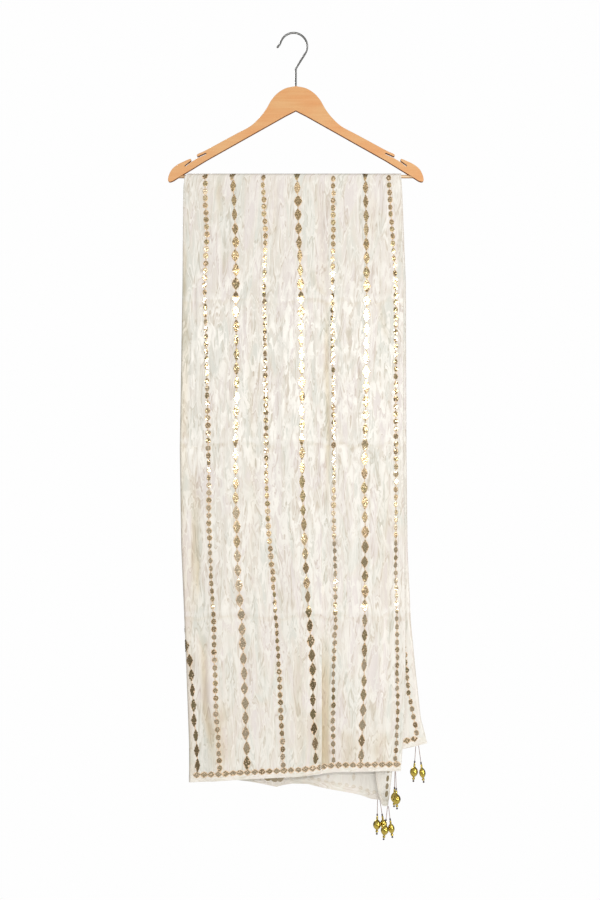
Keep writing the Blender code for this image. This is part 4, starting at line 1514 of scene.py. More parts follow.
@dataclass
class Embroidery:
    """The stripes on one side of a stretch, and the chain across it above its hem."""

    stretch: Stretch
    stripes: tuple[Stripe, ...]
    outward: bool  # on the side that faces away from the bar
    detail: Detail
    seed: int
    chain_rise: float = 0.0125  # the chain's height above the hem's lower edge
    chain_start: float = 0.004
    chain_margin: float = 0.008  # from the free edge to the last lozenge's middle
    chain_tint: float = 0.95
    crest_gap: float = 0.0036  # bare length over the bar's crown
    top_room: float = 0.8  # of a pitch, that leaves no room for one more motif above
    drawn: float = 0.035  # how far the cloth's weight has drawn the motifs apart
    unevenness: float = 0.06  # of the motifs' sizes
    narrowing: float = 0.26  # of the motifs' widths on some lengths of a stripe
    narrow_length: float = 0.075
    stray: Pair = (0.11, 0.08)  # of a motif across and along, in grid steps
    wrong_side_size: float = 0.6
    foil_spread: float = 0.3  # of the foil shapes' tints
    sequin_radius: float = 0.00164
    sequin_crown: float = 0.00003
    sequin_back: float = 0.00015
    seat_jitter: float = 0.00032
    lost: float = 0.03  # the share of sequins that have come off
    tint_spread: Pair = (0.2, 0.15)  # of a motif and of one sequin
    palest: float = 0.92
    ground_lift: float = 0.00022
    ground_sink: float = 0.0001
    ground_taper: float = 0.96
    sequin_lift: float = 0.00045
    tilt: Pair = (0.026, 0.032)  # of a motif and of one sequin, in radians
    calmness: float = 0.88  # how much of the crinkle a sequin's facing leaves out
    link_profile: Spots = ((0.0009, 0.0), (0.0, 0.0003), (-0.0009, 0.0), (0.0, -0.00012))
    link_pitch: float = 0.006
    link_start: float = 0.004

    def visible_columns(self) -> tuple[int, int, int, int]:
        """Find the columns that can be seen.

        Returns:
            The first and the last left of the pleat, and of those right of it.
        """
        stretch = self.stretch
        counts = stretch.blocks()
        last = sum(counts) - 1
        first = 0 if stretch.layer is Layer.INNER else 1 + stretch.fold_arc // 2
        if not stretch.pleated:
            return first, last, first, last
        return first, sum(counts[:3]) - 1, sum(counts[:4]), last

    def on_grid(self, stripe: Stripe, drop: Array, least: float = 0.0) -> Array:
        """Find the grid places of a stripe at some drops, before it is tucked behind the fold.

        Args:
            stripe: the stripe.
            drop: the drops.
            least: the least drop on the grid that is used.

        Returns:
            The rows and columns.
        """
        x, form = stripe.at(drop), self.stretch.form
        drop = np.maximum(drop, least)
        first, before, after, last = self.visible_columns()
        left = form.locate(x, drop, first, before)
        return left if after == first else np.where(x > PLEAT_X, form.locate(x, drop, after, last), left)

    def stripe_places(self, stripe: Stripe) -> Array:
        """Space a stripe's motifs.

        They run from the first one's drop to one that touches the chain, a little further apart
        towards the hem.

        Args:
            stripe: the stripe.

        Returns:
            Their rows and columns on the grid.
        """
        form, pitch = self.stretch.form, stripe.motif.pitch
        touch = (Motif.LOZENGE.wide + stripe.motif.long) / 2
        last = np.array([1.0])
        for _ in range(3):
            columns = self.on_grid(stripe, last)[1]
            edge = form.read(form.drop, np.full(1, len(form.drop) - 1.0), columns)
            last = edge - self.chain_rise - touch
        count = round(float(last[0] - stripe.first) / pitch)
        share = np.arange(0 if stripe.first < pitch * self.top_room else -1, count + 1) / count
        drop = stripe.first + (last[0] - stripe.first) * (share + self.drawn * (share ** 2 - share))
        if stripe.start:
            drop = drop[drop >= min(stripe.start, drop[-1])]
        return form.walk(*self.on_grid(stripe, drop, 0.002), -stripe.tucked(drop), 0.0 * drop)

    def chain_places(self) -> Array:
        """Space the chain's motifs evenly along the cloth.

        Returns:
            Their rows and columns on the grid.
        """
        line = self.stretch.form.across[self.stretch.hem_start]
        start = line[self.visible_columns()[0]] + self.chain_start
        margin = self.chain_margin
        if self.stretch.layer is Layer.INNER:
            margin += CHAIN_SHORT[self.stretch.fall.face]
        count = int((line[-1] - margin - start) / Motif.LOZENGE.pitch) + 1
        along = line[-1] - margin - np.arange(count) * Motif.LOZENGE.pitch
        columns = index_at(np.broadcast_to(line, (count, len(line))), along)
        return np.stack([np.full(count, self.stretch.hem_start - 0.1), columns])

    def spots(self, rows: Array, columns: Array, offsets: Array, lift: float) -> tuple[Array, Array]:
        """Set points on the surface round each motif's middle.

        A point's offsets are walked over the cloth, and it is then lifted along the normal.

        Args:
            rows: the motifs' rows.
            columns: their columns.
            offsets: motifs x points x 2, across and along.
            lift: height above the cloth.

        Returns:
            Points, and the directions they face with most of the crinkle left out.
        """
        form, shape = self.stretch.form, (*offsets.shape[:2], 3)
        places = [np.repeat(part, shape[1]) for part in (rows, columns)]
        over, down = offsets.reshape(-1, 2).T
        down = np.maximum(down, self.crest_gap - form.read(form.along, *places))
        place_on = form.walk(*places, over, down)
        sign = 1.0 if self.outward else -1.0
        normal, calm = (unit(form.read(grid, *place_on)) * sign for grid in (form.normals, form.calm))
        start, half = self.stretch.hem_start, self.stretch.shell_wall / 2
        on_hem = smooth_step(place_on[0], start - 0.8, start - 0.1)[:, None]
        proud = half + lift + on_hem * (self.stretch.hem_wall / 2 - half)
        point = form.read(form.points, *place_on) + normal * proud
        facing = unit((1.0 - self.calmness) * normal + self.calmness * calm)
        return point.reshape(shape), facing.reshape(shape)

    def make_grounds(self, name: str, motifs: list[Row]) -> Piece:
        """Make the motifs' stitched grounds: thin plates that bend with the cloth.

        A plate is a fan from its middle to eight rim points, on top and underneath, and a wall.

        Args:
            name: the piece's name.
            motifs: the rows of motifs.

        Returns:
            The piece.
        """
        layers = ((1.0, self.ground_lift), (self.ground_taper, -self.ground_sink))
        points = np.concatenate([np.concatenate(
            [self.spots(row.rows, row.columns, row.turned(row.spread(row.motif.ground)) * size, lift)[0]
             for size, lift in layers], axis=1) for row in motifs])
        fan = fans(8)[:8]
        near, far = fan[:, 1], fan[:, 2]
        caps = np.concatenate([fan, fan[:, (0, 2, 1)] + 9])
        walls = np.stack([near, near + 9, far + 9, far], axis=1)
        start = np.arange(len(points))[:, None, None] * points.shape[1]
        piece = mesh_piece(name, points, [(start + caps).reshape(-1, 3), (start + walls).reshape(-1, 4)],
                           smooth=False)
        if self.detail is Detail.FOIL:
            spread = np.random.default_rng(self.seed).uniform(-self.foil_spread, self.foil_spread,
                                                              len(points))
            tint = np.concatenate([row.tints for row in motifs]) + spread
            paint(piece, "tint", np.repeat(tint, points.shape[1]))
        return piece

    def lean_share(self, row: Row, drop: Array) -> Array:
        """Return how much of a motif's lean it has at a drop.

        A stripe's own scatter holds on the crushed middle of the drop, and the chain's everywhere.

        Args:
            row: the row of motifs.
            drop: the drop of each.

        Returns:
            Each motif's share.
        """
        crushed = smooth_step(drop, 0.14, 0.25) * (1.0 - smooth_step(drop, 0.46, 0.58))
        if row.motif is Motif.LOZENGE:
            crushed = np.ones(len(drop))
        least = 0.15 + 0.21 * smooth_step(drop, 0.06, 0.14) + 0.3 * smooth_step(drop, 0.6, 0.75)
        return least + (row.scatter - least) * crushed

    def make_sequins(self, name: str, motifs: list[Row]) -> Piece:
        """Make the sequins as one mesh of low six-sided cups.

        A cup's rim is a hexagon across the leaning normal, with a low crown above its middle and
        a point behind it. A motif leans as a whole and each of its sequins a little more.

        Args:
            name: the piece's name.
            motifs: the rows of motifs.

        Returns:
            The piece.
        """
        dice, form = np.random.default_rng(self.seed), self.stretch.form
        sequins = []
        for row in motifs:
            count = len(row.rows)
            seats = row.spread(row.motif.seats)
            seats = row.turned(seats + dice.normal(0.0, self.seat_jitter, seats.shape))
            spots, normal = self.spots(row.rows, row.columns, seats, self.sequin_lift)
            lean = dice.normal(0.0, self.tilt[0], (count, 1, 3))
            lean = lean + dice.normal(0.0, self.tilt[1], spots.shape)
            lean = lean * self.lean_share(row, form.read(form.drop, row.rows, row.columns))[:, None, None]
            tint = row.tints[:, None] + dice.normal(0.0, self.tint_spread[0], (count, 1))
            tint = np.clip(tint, 0.0, self.palest) + dice.uniform(0.0, self.tint_spread[1], spots.shape[:2])
            keep = dice.random(spots.shape[:2]) > self.lost
            keep &= form.read(form.along, row.rows, row.columns)[:, None] + seats[..., 1] > self.crest_gap
            sequins.append((spots[keep], unit(normal + lean)[keep], tint[keep]))
        middle, normal, tint = (np.concatenate(part) for part in zip(*sequins))
        beside = unit(np.cross(normal, (0.0, 0.0, 1.0)))
        above = np.cross(beside, normal)
        turn = np.arange(6) * math.pi / 3 + dice.uniform(0, math.pi / 3, (len(middle), 1))
        rim = np.cos(turn)[..., None] * beside[:, None] + np.sin(turn)[..., None] * above[:, None]
        points = np.concatenate([(middle + normal * self.sequin_crown)[:, None],
                                 middle[:, None] + rim * self.sequin_radius,
                                 (middle - normal * self.sequin_back)[:, None]], axis=1)
        faces = (np.arange(len(middle))[:, None, None] * 8 + fans(6)).reshape(-1, 3)
        piece = mesh_piece(name, points, [faces], smooth=False)
        paint(piece, "tint", np.repeat(tint, 8))
        return piece

    def make_links(self, name: str) -> Piece:
        """Make the couched cord down the middle of each stripe: a flat diamond-shaped tube.

        Args:
            name: the piece's name.

        Returns:
            The piece.
        """
        form, profile = self.stretch.form, np.array(self.link_profile)
        points, tubes, ends, start = [], [], [], 0
        for stripe in self.stripes:
            lowest = form.read(form.drop, *self.stripe_places(stripe)[:, -1:])[0]
            drop = np.arange(max(self.link_start, stripe.start), lowest + stripe.motif.long / 2,
                             self.link_pitch)
            places = form.walk(*self.on_grid(stripe, drop), -stripe.tucked(drop), 0.0 * drop)
            spot, normal = (part[:, 0] for part in self.spots(*places, np.zeros((len(drop), 1, 2)), 0.0))
            beside = unit(np.cross(np.gradient(spot, axis=0), normal))
            points.append(tube(spot, beside, normal, profile))
            for faces, part in zip((tubes, ends), capped(len(spot), len(profile))):
                faces.append(part + start)
            start += len(points[-1])
        return mesh_piece(name, np.concatenate(points), [np.concatenate(tubes + ends)])

    def motif_rows(self) -> list[Row]:
        """Lay out the stripes' motifs and the chain's, each a little out of size and out of place.

        Returns:
            The rows of motifs.
        """
        dice, form = np.random.default_rng(self.seed + 100), self.stretch.form
        motifs = []
        for k, stripe in enumerate(self.stripes):
            rows, columns = self.stripe_places(stripe)
            scales = 1.0 + dice.normal(0.0, self.unevenness, (len(rows), 2))
            drop = form.read(form.drop, rows, columns)
            slow = soft_noise(drop / self.narrow_length, drop * 0.0, self.seed + k)
            scales[:, 0] *= 1.0 - self.narrowing * smooth_step(slow, 0.05, 0.45)
            rows = rows + dice.normal(0.0, self.stray[1], len(rows))
            columns = columns + dice.normal(0.0, self.stray[0], len(rows))
            motifs.append(Row(stripe.motif, stripe.scatter, stripe.tint(drop),
                              scales * (stripe.width, 1.0), rows, columns))
        rows, columns = self.chain_places()
        scales = 1.0 + dice.normal(0.0, self.unevenness, (len(rows), 2))
        motifs.append(Row(Motif.LOZENGE, 1.0, np.full(len(rows), self.chain_tint), scales, rows, columns))
        return motifs

    def build(self) -> list[Piece]:
        """Make and dress this side's embroidery.

        Returns:
            Its pieces.
        """
        finishes, motifs = self.stretch.finishes, self.motif_rows()
        end = f"_{self.stretch.name}_{'out' if self.outward else 'in'}"
        if self.detail is Detail.WRONG_SIDE:
            motifs = [replace(row, scales=row.scales * self.wrong_side_size) for row in motifs]
            return [place(self.make_grounds("bobbin_marks" + end, motifs), "tassel_thread",
                          finishes.wrong_side)]
        if self.detail is Detail.FOIL:
            return [place(self.make_grounds("foil_motifs" + end, motifs), "sequin_gold", finishes.sequin)]
        return [place(self.make_grounds("grounds" + end, motifs), "sequin_gold", finishes.stitch),
                place(self.make_sequins("sequins" + end, motifs), "sequin_gold", finishes.sequin),
                place(self.make_links("links" + end), "sequin_gold", finishes.stitch)]


# ======================== tassels
@dataclass
class Tassel:
    """A beaded tassel: thread, seed bead, gold drop, small gold bead and dark stopper."""

    name: str
    finishes: Finishes
    drop_radius: float
    thread_radius: float = 0.0005
    thread_points: int = 20
    bore_room: float = 0.0001
    gap: float = 0.0003
    seed_size: Pair = (0.0045, 0.0014)  # height and radius
    drop_height: float = 0.024
    drop_power: float = 0.62
    neck_radius: float = 0.0015
    neck_ring: float = 0.00035
    drop_foot: float = 0.0019
    end_size: Pair = (0.0048, 0.0024)
    tip_size: Pair = (0.0034, 0.0017)
    roundness: float = 2.4  # the power of the small beads' outline
    round_rings: int = 17
    round_reach: float = 0.985  # of the outline, before the bore's rim
    round_rim: float = 0.0002
    drop_rings: int = 34
    neck_ridges: int = 9
    drop_waist: float = 0.0016

    def line(self) -> tuple[Array, Array]:
        """Find where the thread leaves the hem and the direction that it hangs in.

        The seed and end beads are turned evenly about the thread, so their boxes' middles lie on
        it, and the top of the thread's box is its start.

        Returns:
            The place and the direction.
        """
        seed, end = (np.mean(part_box(f"{bead}_{self.name}"), axis=0) for bead in ("seed", "end"))
        axis = unit(end - seed)
        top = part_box(f"thread_{self.name}")[1][2]
        return seed + axis * (top - seed[2]) / axis[2], axis

    def turned(self, name: str, profile: Array, start: Array, axis: Array, sides: int) -> Piece:
        """Turn a closed profile about the thread.

        Args:
            name: the bead's name.
            profile: pairs of a length along the thread and a radius.
            start: the bead's top.
            axis: the thread's direction.
            sides: points in a ring.

        Returns:
            The bead.
        """
        away = unit(np.cross(axis, (0.0, 1.0, 0.0)))
        points = tube(start + profile[:, :1] * axis, away, np.cross(axis, away),
                      profile[:, 1, None, None] * circle(sides))
        numbers = np.arange(len(profile) * sides).reshape(-1, sides)[[-1, 0]]
        close = np.stack([numbers[0], np.roll(numbers[0], -1), np.roll(numbers[1], -1), numbers[1]], 1)
        bead = mesh_piece(name, points, [grid_quads(len(profile), sides, wrap=True), close])
        bead.data.set_sharp_from_angle(angle=SHARP_ANGLE)
        return bead

    def bored(self, along: Array, outer: Array) -> Array:
        """Close a bead's profile with the bore for the thread.

        Args:
            along: lengths down the bead.
            outer: its radii there.

        Returns:
            The profile's pairs.
        """
        bore = self.thread_radius + self.bore_room
        profile = np.stack([along, outer], axis=1)
        return np.concatenate([profile, [[along[-1], bore], [along[0], bore]]])

    def round_bead(self, size: Pair) -> Array:
        """Draw a small bead's profile: a superellipse, with a bore and a rim round it.

        Args:
            size: its height and radius.

        Returns:
            The profile's pairs.
        """
        height, radius = size
        share = np.linspace(-1.0, 1.0, self.round_rings) * self.round_reach
        outer = radius * (1 - np.abs(share) ** self.roundness) ** (1 / self.roundness)
        rim = self.thread_radius + self.bore_room + self.round_rim
        return self.bored(height * (share + 1) / 2, np.maximum(outer, rim))

    def drop_bead(self) -> Array:
        """Draw the gold drop's profile: a ringed neck that swells into a full body, with a bore.

        The body is a power of a sine arch, and the neck's rings are low cosine ridges.

        Returns:
            The profile's pairs.
        """
        along = np.linspace(0.0, 1.0, self.drop_rings)
        ridges = 0.5 - 0.5 * np.cos(2 * math.pi * along * self.neck_ridges)
        neck = self.neck_radius + self.neck_ring * ridges
        swell = smooth_step(along, 0.16, 0.34)
        arch = np.sin(math.pi * np.clip((along - 0.22) / 0.8, 0, 1))
        body = self.drop_radius * arch ** self.drop_power
        outer = neck * (1 - swell) + np.maximum(body, self.drop_waist) * swell
        outer[-1] = self.drop_foot
        return self.bored(along * self.drop_height, outer)

    def stopper(self) -> Array:
        """Draw the dark stopper's profile, half an oval that is closed below.

        Returns:
            The profile's pairs.
        """
        height, radius = self.tip_size
        turn = np.linspace(0.06, math.pi - 0.06, 13)
        return np.stack([height * (1 - np.cos(turn)) / 2, radius * np.sin(turn)], axis=1)

    def make_thread(self, route: Array) -> Piece:
        """Make the thread as a round curve.

        Args:
            route: the points that it runs through.

        Returns:
            The piece.
        """
        curve = bpy.data.curves.new("thread", "CURVE")
        curve.dimensions = "3D"
        curve.bevel_depth = self.thread_radius
        curve.bevel_resolution = 3
        curve.use_fill_caps = True
        spline = curve.splines.new("POLY")
        spline.points.add(len(route) - 1)
        spline.points.foreach_set("co", np.column_stack([route, np.ones(len(route))]).ravel())
        return new_object("cotton_thread_" + self.name, curve)

    def build(self) -> list[Piece]:
        """Make the tassel.

        Returns:
            Its pieces.
        """
        start, axis = self.line()
        seed = np.mean(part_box(f"seed_{self.name}"), axis=0)
        at = float((seed - start) @ axis) - self.seed_size[0] / 2
        glass, gold = (self.finishes.glass, "seed_bead"), (self.finishes.gold, "gold_bead")
        beads = (("seed", self.round_bead(self.seed_size), self.seed_size[0], 20, *glass),
                 ("drop", self.drop_bead(), self.drop_height, 32, *gold),
                 ("end", self.round_bead(self.end_size), self.end_size[0], 24, *gold),
                 ("tip", self.stopper(), 0.0, 20, *glass))
        places = at + np.cumsum([0.0] + [bead[2] + self.gap for bead in beads[:-1]])
        length = float(places[-1]) - self.gap
        thread = self.make_thread(start + axis * np.linspace(0.0, length, self.thread_points)[:, None])
        place(thread, "tassel_thread", self.finishes.thread, "thread_" + self.name)
        pieces = [place(self.turned(f"{bead}_bead_{self.name}", profile, start + axis * top, axis, sides),
                        slot, material, f"{bead}_{self.name}")
                  for top, (bead, profile, _, sides, material, slot) in zip(places, beads)]
        return [thread, *pieces]


# ======================== the whole
# A soft crease's x and drop at its start, x and drop at its end, height, reach and painted shading (painted
# shade above nought, painted highlight below).
FRONT_CREASES = tuple(SoftCrease(*row) for row in (
    (-0.133, 0.007, -0.13, 0.078, -0.001, 0.005, 0.5), (0.048, 0.025, 0.052, 0.224, -0.0008, 0.007, 0.25),
    (0.027, 0.164, 0.059, 0.234, 0.0014, 0.006, 0.3), (0.059, 0.231, 0.061, 0.576, -0.0016, 0.0046, 0.75),
    (0.14, 0.036, 0.142, 0.125, -0.0008, 0.006, 0.3), (0.149, 0.227, 0.166, 0.298, -0.001, 0.005, 0.35),
    (-0.189, 0.206, -0.189, 0.54, -0.0006, 0.006, 0.3),
    (-0.168, 0.196, -0.17, 0.456, 0.0012, 0.0022, -0.55),
    (-0.177, 0.189, -0.179, 0.435, 0.0009, 0.002, -0.4),
    (-0.186, 0.576, -0.181, 0.656, 0.0009, 0.0025, -0.4),
    (-0.175, 0.519, -0.174, 0.734, -0.0012, 0.008, 0.4),
    (-0.168, 0.674, -0.168, 0.744, -0.0012, 0.003, 0.5),
    (-0.163, 0.808, -0.144, 1.04, -0.0014, 0.007, 0.75),
    (-0.1915, 0.122, -0.1915, 0.232, -0.0002, 0.0036, 0.45),
    (-0.188, 0.466, -0.1769, 0.528, 0.0006, 0.0026, -0.9),
    (-0.1616, 0.466, -0.1769, 0.528, 0.0006, 0.0026, -0.9),
    (0.008, 0.822, 0.011, 1.043, -0.0008, 0.008, 0.28), (0.092, 0.78, 0.092, 0.843, 0.0006, 0.01, -0.3),
    (0.099, 0.581, 0.103, 0.716, 0.001, 0.008, -0.45), (0.091, 0.224, 0.085, 0.442, 0.0009, 0.006, -0.3),
    (0.163, 0.519, 0.163, 0.825, -0.0007, 0.012, 0.15),
    (-0.019, 0.224, -0.022, 0.474, 0.0009, 0.005, -0.3), (0.041, 0.238, 0.043, 0.47, 0.001, 0.004, -0.35),
    (-0.114, 0.452, -0.119, 0.751, 0.0008, 0.006, -0.2),
    (-0.075, 0.277, -0.07, 0.751, -0.0008, 0.006, 0.18),
    (-0.031, 0.009, -0.034, 0.125, -0.0009, 0.004, 0.25),
    (0.161, 0.013, 0.157, 0.224, 0.0008, 0.006, -0.2),
    (-0.089, 0.751, -0.084, 1.036, -0.0008, 0.007, 0.15), (0.11, 0.839, 0.106, 1.04, 0.0007, 0.006, -0.2),
    (-0.129, 0.93, -0.127, 1.05, 0.0, 0.012, 0.62), (0.04, 0.94, 0.041, 1.045, 0.0, 0.015, 0.48),
    (0.098, 0.98, 0.099, 1.045, 0.0, 0.018, 0.42), (0.152, 0.98, 0.151, 1.045, 0.0, 0.013, 0.45),
    (-0.173, 0.6, -0.174, 0.79, 0.0, 0.009, 0.3)))
BACK_CREASES = tuple(SoftCrease(*row) for row in (
    (-0.15, 0.01, -0.146, 0.095, -0.001, 0.005, 0.45), (-0.095, 0.03, -0.101, 0.24, 0.001, 0.004, -0.35),
    (-0.06, 0.21, -0.052, 0.52, -0.0015, 0.005, 0.6), (-0.018, 0.06, -0.01, 0.3, -0.0008, 0.007, 0.25),
    (0.012, 0.25, 0.008, 0.47, 0.0011, 0.004, -0.4), (0.038, 0.015, 0.036, 0.13, -0.0009, 0.0045, 0.35),
    (0.066, 0.33, 0.071, 0.6, -0.0012, 0.006, 0.45), (0.104, 0.08, 0.101, 0.26, 0.0008, 0.006, -0.25),
    (0.139, 0.2, 0.134, 0.42, -0.0009, 0.006, 0.3), (-0.172, 0.3, -0.17, 0.56, 0.0009, 0.0025, -0.45),
    (-0.141, 0.48, -0.147, 0.72, -0.0012, 0.007, 0.4), (-0.084, 0.56, -0.079, 0.8, 0.0009, 0.006, -0.25),
    (-0.031, 0.62, -0.037, 0.9, -0.0012, 0.006, 0.45), (0.024, 0.7, 0.029, 0.98, -0.0008, 0.008, 0.25),
    (0.083, 0.74, 0.079, 1.02, 0.001, 0.005, -0.35), (0.121, 0.64, 0.116, 0.93, -0.001, 0.006, 0.35),
    (0.146, 0.86, 0.138, 1.06, 0.0008, 0.006, -0.2), (-0.118, 0.85, -0.11, 1.04, -0.0013, 0.007, 0.5)))
FRONT_FALL = Fall(
    face=Face.FRONT, lag=0.0, opening=0.0064, flare=0.004, ripple=0.0022, ripple_drops=(0.02, 0.35),
    waves=((0.6, 0.113, 0.6, 1.1), (0.4, 0.071, 2.1, -1.7)),
    sides=((0.0, -0.186, 0.189, 0.189), (0.0051, -0.192, 0.189, 0.189),
           (0.03, -0.1944, 0.191, 0.1885), (0.195, -0.1954, 0.1975, 0.1935),
           (0.485, -0.2, 0.1985, 0.1925), (0.655, -0.1976, 0.2003, 0.195),
           (0.79, -0.1917, 0.206, 0.1965), (0.875, -0.1883, 0.2143, 0.1965),
           (0.96, -0.1852, 0.2235, 0.1945), (1.004, -0.1836, 0.2355, 0.1916),
           (1.075, -0.1835, 0.2545, 0.187)),
    creases=FRONT_CREASES)
BACK_FALL = Fall(
    face=Face.BACK, lag=0.006, opening=0.0047, flare=0.0, ripple=0.0085, ripple_drops=(0.05, 0.95),
    waves=((0.7, 0.128, 2.0, 0.5), (0.3, 0.083, 0.4, -0.8)),
    sides=((0.0, -0.186, 0.189, 0.189), (0.0051, -0.192, 0.189, 0.189),
           (0.03, -0.1944, 0.19, 0.1885), (0.6, -0.1935, 0.189, 0.188),
           (0.9, -0.186, 0.185, 0.184), (1.05, -0.183, 0.175, 0.17),
           (1.12, -0.182, 0.167, 0.161)),
    creases=BACK_CREASES)

# Each stripe's motif, first drop, scatter, tints and width, from the fold to the free edge.
STRIPE_LOOKS = (
    (Motif.DIAMOND, 0.016, 1.0, (0.22, 0.3), 1.0), (Motif.CIRCLE, 0.0055, 2.0, (0.58, 0.8), 1.0),
    (Motif.DIAMOND, 0.0228, 0.9, (0.2, 0.9), 1.0), (Motif.CIRCLE, 0.0079, 2.6, (0.3, 0.62), 0.97),
    (Motif.DIAMOND, 0.0247, 0.6, (0.12, 0.42), 1.0), (Motif.CIRCLE, 0.0094, 1.4, (0.26, 0.92), 0.88),
    (Motif.DIAMOND, 0.0254, 0.7, (0.22, 0.62), 1.0), (Motif.CIRCLE, 0.0083, 2.0, (0.34, 0.8), 0.9))
STRIPE_MARGINS = {Layer.OUTER: (0.014, 0.014), Layer.INNER: (0.006, 0.016)}  # from fold and edge
GRIDS = {Layer.OUTER: (0.0027, 0.0045), Layer.INNER: (0.0044, 0.006)}  # across and along
CRINKLE_HEIGHTS = {Layer.OUTER: 0.0012, Layer.INNER: 0.0006}
# The front outer stretch's stripes wander with its soft folds: a row for each drop, then the x of
# the stripe at the fold and of the seven to its right.
FRONT_STRIPES = (
    (0.0, -0.186, -0.156, -0.1063, -0.0535, 0.0066, 0.0697, 0.1264, 0.168),
    (0.0256, -0.1925, -0.1558, -0.1063, -0.0531, 0.0069, 0.0697, 0.1267, 0.1684),
    (0.1103, -0.1935, -0.1527, -0.102, -0.0498, 0.0092, 0.0699, 0.128, 0.1742),
    (0.195, -0.1941, -0.1564, -0.1018, -0.0517, 0.0127, 0.068, 0.1288, 0.1797),
    (0.3645, -0.1965, -0.1523, -0.1001, -0.0494, 0.0148, 0.0695, 0.1278, 0.1799),
    (0.5339, -0.1977, -0.149, -0.1025, -0.0478, 0.0148, 0.0713, 0.1246, 0.1799),
    (0.6186, -0.1963, -0.1491, -0.1006, -0.0448, 0.0178, 0.0704, 0.126, 0.1799),
    (0.7034, -0.1935, -0.1451, -0.0983, -0.0371, 0.0221, 0.0734, 0.1255, 0.1799),
    (0.7881, -0.1893, -0.1403, -0.0914, -0.0309, 0.0274, 0.0738, 0.1253, 0.1821),
    (0.8728, -0.18, -0.1384, -0.087, -0.0251, 0.0339, 0.0702, 0.1243, 0.1823),
    (0.9575, -0.1748, -0.1356, -0.0842, -0.0219, 0.0342, 0.0694, 0.1223, 0.183),
    (0.9999, -0.1708, -0.132, -0.0828, -0.0199, 0.0378, 0.0697, 0.1198, 0.1811),
    (1.0422, -0.1683, -0.1299, -0.0815, -0.0184, 0.0395, 0.0706, 0.1184, 0.1776),
    (1.07, -0.1672, -0.1285, -0.0808, -0.0175, 0.0402, 0.0706, 0.1176, 0.176),
)

@dataclass(frozen=True)
class Cut:
    """How one stretch is cut, hemmed and embroidered."""

    fall: Fall
    layer: Layer
    seed: int
    flat: Pair  # width and length
    hem: Spots  # share of the way across, drop of the lower edge
    outside: Detail
    inside: Detail
    first_outside: int = 0  # the first stripe that is worked on its outside


CUTS = (
    Cut(FRONT_FALL, Layer.OUTER, 11, (0.41, 1.06),
        ((0.0, 1.0715), (0.53, 1.0612), (0.7, 1.054), (1.0, 1.0525)),
        Detail.SEQUINS, Detail.WRONG_SIDE),
    Cut(FRONT_FALL, Layer.INNER, 23, (0.4, 1.04), ((0.0, 1.0715), (0.89, 1.014), (1.0, 1.0035)),
        Detail.SEQUINS, Detail.FOIL, -1),
    Cut(BACK_FALL, Layer.INNER, 37, (0.4, 1.075),
        ((0.0, 1.064), (0.29, 1.0738), (0.44, 1.0852), (0.47, 1.0827), (0.55, 1.051),
         (0.94, 1.05), (0.97, 1.0933), (1.0, 1.1181)), Detail.WRONG_SIDE, Detail.FOIL),
    Cut(BACK_FALL, Layer.OUTER, 41, (0.41, 1.09),
        ((0.0, 1.064), (0.29, 1.0751), (0.37, 1.0787), (0.45, 1.085), (0.53, 1.0804),
         (0.61, 1.0804), (0.69, 1.0865), (0.9, 1.101), (0.96, 1.1071), (1.0, 1.108)),
        Detail.SEQUINS, Detail.WRONG_SIDE))


@dataclass
class Dupatta:
    """The whole length of cloth with its embroidery."""

    finishes: Finishes
    fold_start: float = 0.745  # of the front's stripe at the fold, which is hidden above it
    fold_tuck: float = 0.015
    fold_tuck_end: float = 0.87
    lowest_drop: float = 1.12
    line_points: int = 12  # of a stripe that has no table
    corner_shift: float = 0.0125  # of the back inner border stripe, to its corner
    corner_drops: Pair = (0.95, 1.06)
    corner_width: float = 0.55
    corner_tints: Pair = (1.0, 1.0)

    def stripes(self, fall: Fall, layer: Layer) -> tuple[Stripe, ...]:
        """Return a stretch's stripes.

        The front outer stretch has its own table. On the others, the border stripe keeps a set
        distance from the free edge and the rest share the way to the fold evenly. An inner
        stretch has none at the fold.

        Args:
            fall: the face's fall.
            layer: the layer.

        Returns:
            The stripes, from the fold to the free edge.
        """
        if fall is FRONT_FALL and layer is Layer.OUTER:
            drops, *lines = np.array(FRONT_STRIPES).T
            at_fold, *others = (Stripe(*look, drops, x) for look, x in zip(STRIPE_LOOKS, lines))
            return (replace(at_fold, start=self.fold_start, tuck=self.fold_tuck,
                            tuck_end=self.fold_tuck_end), *others)
        drops = np.linspace(0.0, self.lowest_drop, self.line_points)
        inset, margin = STRIPE_MARGINS[layer]
        fold, edge = fall.fold(drops) + inset, fall.free_edge(layer, drops)
        cornered = fall is BACK_FALL and layer is Layer.INNER
        if cornered:
            margin = margin - self.corner_shift * smooth_step(drops, *self.corner_drops)
        stripes = [Stripe(motif, first, 1.0, tints, width, drops, fold + (edge - margin - fold) * k / 7)
                   for k, (motif, first, _, tints, width) in enumerate(STRIPE_LOOKS)]
        if cornered:
            stripes[-1] = replace(stripes[-1], tints=self.corner_tints, width=self.corner_width)
        return tuple(stripes if layer is Layer.OUTER else stripes[1:])

    def build(self) -> list[Piece]:
        """Make the cloth, stretch by stretch, with what is sewn on it.

        Returns:
            Its pieces.
        """
        pieces = []
        for cut in CUTS:
            stretch = Stretch(self.finishes, cut.fall, cut.layer, cut.hem, cut.flat,
                              Crinkle(cut.seed, CRINKLE_HEIGHTS[cut.layer]),
                              self.stripes(cut.fall, cut.layer), *GRIDS[cut.layer])
            shell, *sewn = stretch.build()
            sewn += Embroidery(stretch, stretch.stripes[cut.first_outside:], True, cut.outside,
                               cut.seed).build()
            sewn += Embroidery(stretch, stretch.stripes, False, cut.inside, cut.seed + 1).build()
            pieces += [shell, *sewn]
        return pieces


